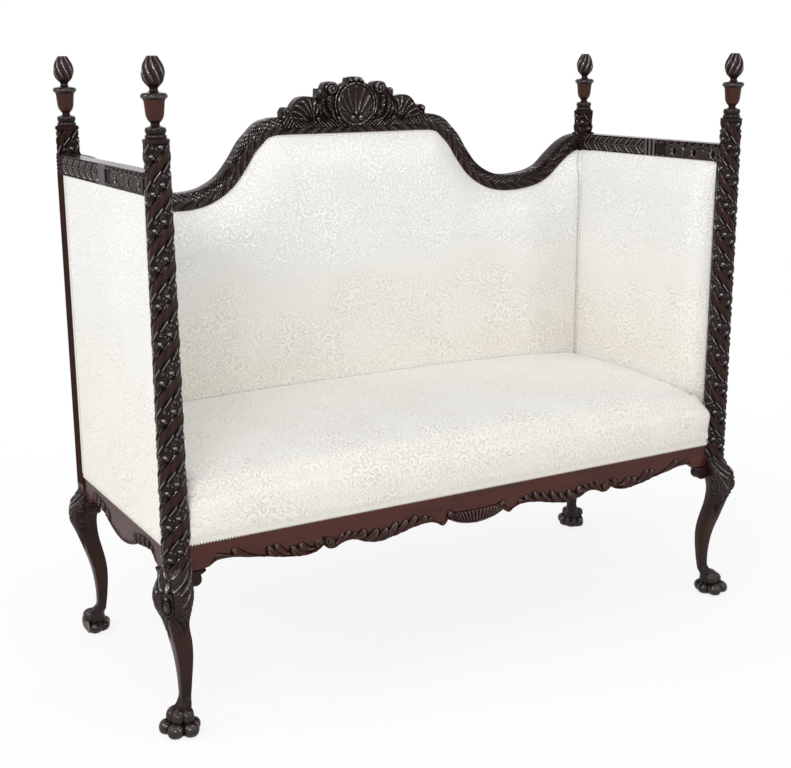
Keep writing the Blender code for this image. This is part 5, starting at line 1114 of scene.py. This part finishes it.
backPad = dict(plane=0.2562, half=0.6400, low=0.470, edge=0.0045, post=0.0172, full=0.0438, roll=0.105)
sidePad = dict(plane=0.6522, front=-0.2340, back=0.2402, top=1.0142, low=0.462, edge=0.0045, full=0.0322,
               post=0.0118, roll=0.085)
padSeam = dict(deep=0.0062, wide=0.0024, zone=0.045)
stitch = dict(down=0.026, wide=0.0014)      # the line sewn below the top rails
tuckGap = 0.0004        # between the covers and the carved edge above them


def swell(distance, roll, edge, full):
    # from edge to full over the length of the roll, steep at first
    return edge + (full - edge) * (1 - (1 - np.clip(distance / roll, 0, 1)) ** 2.6)


def sideThickness(drop, corner):
    # how far a side pad stands out, from the distance below its top edge; corner is 1 beside the back
    edge = sidePad["edge"]
    return swell(drop, sidePad["roll"] * (1 - 0.35 * corner), edge + (sidePad["post"] - edge) * corner,
                 sidePad["full"])


def creaseAt(distance):
    # how far a pad draws in beside the seam with the next one
    return padSeam["deep"] * bell(distance + padSeam["wide"] / 3, padSeam["wide"])


def closePad(face, axis, plane, uv):
    # a crowned face, four narrow walls and a flat back that share their borders
    back = face.copy()
    back[..., axis] = plane
    parts = [skin(face, uv), skin(back, uv)]
    for edge, rear, e in ((face[0], back[0], uv[0]), (face[-1], back[-1], uv[-1]),
                          (face[:, 0], back[:, 0], uv[:, 0]), (face[:, -1], back[:, -1], uv[:, -1])):
        deep = np.linalg.norm(edge - rear, axis=1)[:, None]
        parts.append(skin(np.stack([edge, rear]), np.stack([e, e + deep])))
    return parts


def makeBackPad():
    # its thickness grows with the distance from the carved edge; at its ends it laps over the posts' corners
    half = backPad["half"]
    near = half - padSeam["zone"]
    x = np.concatenate([np.linspace(-half, -near, 46), np.linspace(-near, near, 176)[1:-1],
                        np.linspace(near, half, 46)])[:, None]
    top = backEdge(x) - tuckGap
    t = np.concatenate([np.linspace(0, 0.12, 34) ** 1.15 / 0.12 ** 0.15, np.linspace(0.12, 1, 66)[1:]])
    z = top - (top - backPad["low"]) * t[None, :]
    edgeX = np.linspace(-0.64, 0.64, 500)
    away = np.min(np.hypot(x[:, :, None] - edgeX, z[:, :, None] - backEdge(edgeX)), axis=2)
    ends = ease(0.075, 0.015, half - np.abs(x))
    thick = swell(away, backPad["roll"] * (1 - 0.35 * ends),
                  backPad["edge"] + (backPad["post"] - backPad["edge"]) * ends, backPad["full"])
    waves = 0.0006 * np.sin(x * 19) * np.sin(z * 13 + 0.7)
    crease = creaseAt(np.abs(x) - sidePad["plane"] + sideThickness(sidePad["top"] - z, 1.0))
    y = backPad["plane"] - thick + waves * ease(0, 0.05, away) + crease
    return closePad(together(x, y, z), 1, backPad["plane"], together(x, z))


def makeSidePad(side):
    # as the back one, eased to nothing at the front post and creased where it meets the back pad
    front, back, seam = sidePad["front"], sidePad["back"], sidePad["back"] - padSeam["zone"]
    y = np.concatenate([np.linspace(front, front + 0.05, 26), np.linspace(front + 0.05, seam, 58)[1:],
                        np.linspace(seam, back, 46)[1:]])[:, None]
    t = np.concatenate([np.linspace(0, 0.12, 40), np.linspace(0.12, 1, 76)[1:]])[None, :]
    drop = (sidePad["top"] - sidePad["low"]) * t
    thick = sideThickness(drop, ease(0.150, 0.215, y)) * swell(y - front, 0.062, 0.06, 1.0)
    behind = swell(drop, 0.65 * backPad["roll"], backPad["post"], backPad["full"])
    crease = creaseAt(y - backPad["plane"] + behind)
    sewn = 0.0011 * bell(drop - stitch["down"], stitch["wide"])
    z = sidePad["top"] - drop
    waves = 0.0005 * np.sin(y * 31) * np.sin(z * 17)
    x = side * (sidePad["plane"] - thick + waves + sewn + crease)
    return closePad(together(x, y, z), 0, side * sidePad["plane"], together(y + 0.37, z + 0.13))


def welded(name, parts, material, stands):
    # one closed skin: shared borders are merged and the faces turned to point out
    piece = build(name, parts, material, stands, turn=False)
    mesh = bmesh.new()
    mesh.from_mesh(piece.data)
    bmesh.ops.remove_doubles(mesh, verts=mesh.verts, dist=0.00001)
    bmesh.ops.recalc_face_normals(mesh, faces=mesh.faces)
    mesh.to_mesh(piece.data)
    mesh.free()
    piece.data.set_sharp_from_angle(angle=math.radians(50))
    return piece


welded("seat_upholstery", makeSeat(), fabric, ("seat_cover", "seat_stuffing"))
welded("inside_back_upholstery", makeBackPad(), fabric,
                 ("inside_back_cover", "inside_back_stuffing"))
for side, sideName in sides:
    welded(f"inside_{sideName}_upholstery", makeSidePad(side), fabric,
                     (f"inside_{sideName}_cover", f"inside_{sideName}_stuffing"))
print("upholstery made")

outside = dict(face=0.6798, thick=0.0016, low=0.378, top=1.0142, front=-0.2402, back=0.2402,
               backFace=0.2758, backThick=0.0013, backHalf=0.6412)


def makeOutsideSide(side):
    # a stretched sheet, a little full in the middle, with the sewn line below the top rail
    y = np.linspace(outside["front"], outside["back"], 44)[:, None]
    z = np.linspace(outside["low"], outside["top"], 56)[None, :]
    waves = 0.00035 * np.sin(y * 27) * np.sin(z * 19)
    waves = waves - 0.0009 * bell(outside["top"] - z - stitch["down"], 0.0013)
    full = 0.0007 * np.sin(pi * (y - outside["front"]) / (outside["back"] - outside["front"]))
    x = side * (outside["face"] + outside["thick"] + full + waves)
    return closePad(together(x, y, z), 0, side * outside["face"], together(y, z))


def makeOutsideBack():
    # the same at the back, up to the edge of the serpentine rail
    x = np.linspace(-outside["backHalf"], outside["backHalf"], 150)[:, None]
    z = outside["low"] + (backEdge(x) - tuckGap - outside["low"]) * np.linspace(0, 1, 44)[None, :]
    y = outside["backFace"] + outside["backThick"] + 0.0003 * np.sin(x * 21) * np.sin(z * 15)
    return closePad(together(x, y, z), 1, outside["backFace"], together(x, z))


for side, sideName in sides:
    welded(f"outside_{sideName}_panel", makeOutsideSide(side), fabric, (f"outside_{sideName}_cover",))
welded("outside_back_panel", makeOutsideBack(), fabric, ("outside_back_cover",))
print("outside panels made")

gimp = dict(wide=0.0132, thick=0.0015, tooth=0.0062, depth=0.0046, cell=0.00103, low=0.3665,
            front=-0.2658, frontHalf=0.6400, back=0.2758, backHalf=0.6410, sideHalf=0.2400)
edging = dict(wide=0.0046, depth=0.0030, thick=0.0007, inward=0.0028, backPlane=0.2502, sidePlane=0.6480,
              height=1.0168, front=-0.2335, back=0.2050, outsideY=0.2401, outsideTop=1.0140)
gimpShare = np.array([0, 0.06, 0.14, 0.5, 0.86, 0.94, 1.0, 1.0, 0.0])
gimpRise = np.array([0.55, 0.95, 1.0, 0.92, 1.0, 0.95, 0.55, 0.0, 0.0])


def makeGimp(path, across, lift, sizes=gimp):
    # a flat strip along a path: across points over its width and lift points out of the cloth
    path = np.array(path, float)
    s = lengths(path)
    t = np.linspace(0, s[-1], max(8, int(s[-1] / gimp["cell"])))

    def spread(vectors):
        values = np.broadcast_to(vectors, path.shape).T
        return together(*(np.interp(t, s, axis) for axis in values))[:, None, :]

    line, side, out = spread(path), spread(across), spread(lift)
    tooth = (sizes["depth"] * np.abs((t / gimp["tooth"]) % 1 - 0.5) * 2)[:, None]
    width = sizes["wide"] * gimpShare + tooth * (1 - gimpShare)
    grid = line + side * width[..., None] + out * (gimpRise * sizes["thick"])[None, :, None]
    return solid(grid, uv=together(t[:, None], width))


def addGimp(name, path, across, lift, sizes=gimp, stands=()):
    # one length of braid as a piece of its own
    build(name, [makeGimp(path, across, lift, sizes)], trim, stands)


low = gimp["low"]
for end, y, half in ((-1, gimp["front"], gimp["frontHalf"]), (1, gimp["back"], gimp["backHalf"])):
    name = "front_gimp" if end < 0 else "back_gimp"
    addGimp(name + "_braid", ((-half, y, low), (half, y, low)), (0, 0, 1), (0, end, 0), stands=(name,))
for side, sideName in sides:
    x, y = side * outside["face"], gimp["sideHalf"]
    addGimp(sideName + "_gimp_braid", ((x, -y, low), (x, y, low)), (0, 0, 1), (side, 0, 0),
            stands=(sideName + "_gimp",))
    x, y = side * (outside["face"] + outside["thick"] + 0.0004), edging["outsideY"]
    addGimp(f"outside_{sideName}_edging", ((x, y, low + 0.012), (x, y, edging["outsideTop"])),
            (0, -0.75, 0), (side, 0, 0))
cx, cz, tx, tz = alongSerpentine()[:4]
reach = topRail["half"] - edging["inward"]
path = together(cx + tz * reach, edging["backPlane"], cz - tx * reach)
keep = np.abs(path[:, 0]) < backPad["half"] - 0.001
addGimp("inside_back_edging", path[keep], together(tz * 0.98, -0.20, -tx * 0.98)[keep],
        together(-tz * 0.20, -0.98, tx * 0.20)[keep], edging)
for side, sideName in sides:
    x, z = side * edging["sidePlane"], edging["height"]
    addGimp(f"inside_{sideName}_edging", ((x, edging["front"], z), (x, edging["back"], z)),
            (-side * 0.30, 0, -0.95), (-side * 0.95, 0, 0.30), edging)
print("braid made")

# the hidden frame keeps its solids and takes real finishes
hiddenFinishes = dict(seat_brace=beech, back_centre_upright=beech, tacking_rail=beech, corner_block=beech,
                      back_seat_rail=woodX, seat_webbing=jute, seat_hessian=canvas, seat_spring=steel)
for name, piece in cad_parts.items():
    for part, finish in hiddenFinishes.items():
        if part in name:
            piece.data.materials.clear()
            piece.data.materials.append(finish)
print("hidden frame finished")

studio = dict(floor=40.0, floorHeight=-0.0005, floorColour=(0.93, 0.93, 0.93, 1), white=0.84,
              whiteFrom=0.35, whiteAt=1.9, sky=0.54)
lamps = dict(   # place, what it points at, width and height, and power
    key=((-2.6, -2.8, 2.4), (0, 0, 0.6), (2.0, 0.8), 57),
    side=((-3.2, 0.2, 2.4), (0.2, 0, 0.7), (0.9, 0.9), 25),
    fill=((1.6, -3.2, 1.9), (0, 0, 0.6), (0.4, 1.2), 17),
    top=((-0.2, -0.6, 3.0), (0, 0, 0.4), (1.4, 0.8), 12),
    rim=((0.5, 2.8, 2.2), (0, 0, 0.8), (2.2, 1.2), 8))
camera = dict(lens=60.0, sensor=36, yaw=29.975, pitch=13.996, roll=-0.261, near=0.05, far=50,
              place=(-1.4524, -2.4467, 1.2485))


def seenRays(tree):
    # 1 for rays from the camera and for those that were mirrored or let through on their way
    path = tree.nodes.new("ShaderNodeLightPath")
    direct, glossy, passed = (Value(tree, path.outputs[i]) for i in (0, 3, 6))
    return direct.over(glossy).over(passed)


def makeFloor():
    # a pale floor that keeps the shadow near the settee and runs out to plain white
    f = Finish("paleFloor")
    x, y, _ = f.xyz(f.place())
    far = f.step((x * x * 0.55 + y * y).sum("SQRT"), studio["whiteFrom"], studio["whiteAt"])
    white = seenRays(f.tree) * (studio["white"] + far * (1 - studio["white"]))
    f.set(BaseColor=studio["floorColour"], Roughness=0.9)
    mix = f.add("MixShader")
    glow = f.add("Emission", Strength=1.0)
    for slot, value in zip(mix.inputs, (white, f.shader.outputs[0], glow.outputs[0])):
        f.put(slot, value)
    f.put(f.tree.nodes["Material Output"].inputs[0], mix.outputs[0])
    n, z = studio["floor"], studio["floorHeight"]
    mesh = bpy.data.meshes.new("studio_floor")
    mesh.from_pydata([(-n, -n, z), (n, -n, z), (n, n, z), (-n, n, z)], [], [(0, 1, 2, 3)])
    mesh.materials.append(f.material)
    floor = addObject("studio_floor", mesh)


def makeSky():
    # plain white where it is looked at or mirrored, softer where it only lights
    world = bpy.data.worlds.new("studio")
    bpy.context.scene.world = world
    world.use_nodes = True
    tree = world.node_tree
    tree.nodes.clear()
    mix, out = (tree.nodes.new("ShaderNode" + kind) for kind in ("MixShader", "OutputWorld"))
    tree.links.new(seenRays(tree).socket, mix.inputs[0])
    for slot, strength in ((mix.inputs[1], studio["sky"]), (mix.inputs[2], 1.0)):
        light = tree.nodes.new("ShaderNodeBackground")
        light.inputs[0].default_value = (1, 1, 1, 1)
        light.inputs[1].default_value = strength
        tree.links.new(light.outputs[0], slot)
    tree.links.new(mix.outputs[0], out.inputs[0])


def addLamp(name, place, aim, size, power):
    # a rectangular lamp turned to its aim
    lamp = bpy.data.lights.new(name, "AREA")
    lamp.shape = "RECTANGLE"
    lamp.size, lamp.size_y = size
    lamp.energy = power
    item = addObject(name, lamp)
    item.location = place
    item.rotation_euler = (Vector(aim) - Vector(place)).to_track_quat("-Z", "Y").to_euler()


def makeCamera():
    # looks ahead by yaw and downwards by pitch, then rolls about its own axis
    data = bpy.data.cameras.new("camera")
    data.lens, data.sensor_width = camera["lens"], camera["sensor"]
    data.clip_start, data.clip_end = camera["near"], camera["far"]
    item = addObject("camera", data)
    yaw, pitch, roll = (math.radians(camera[key]) for key in ("yaw", "pitch", "roll"))
    ahead = Vector((math.sin(yaw) * math.cos(pitch), math.cos(yaw) * math.cos(pitch), -math.sin(pitch)))
    turn = ahead.to_track_quat("-Z", "Y").to_matrix() @ Matrix.Rotation(roll, 3, "Z")
    item.matrix_world = Matrix.Translation(camera["place"]) @ turn.to_4x4()
    bpy.context.scene.camera = item


makeFloor()
makeSky()
for name, settings in lamps.items():
    addLamp(name, *settings)
makeCamera()
bpy.context.scene.view_settings.view_transform = "Standard"
print("studio made")
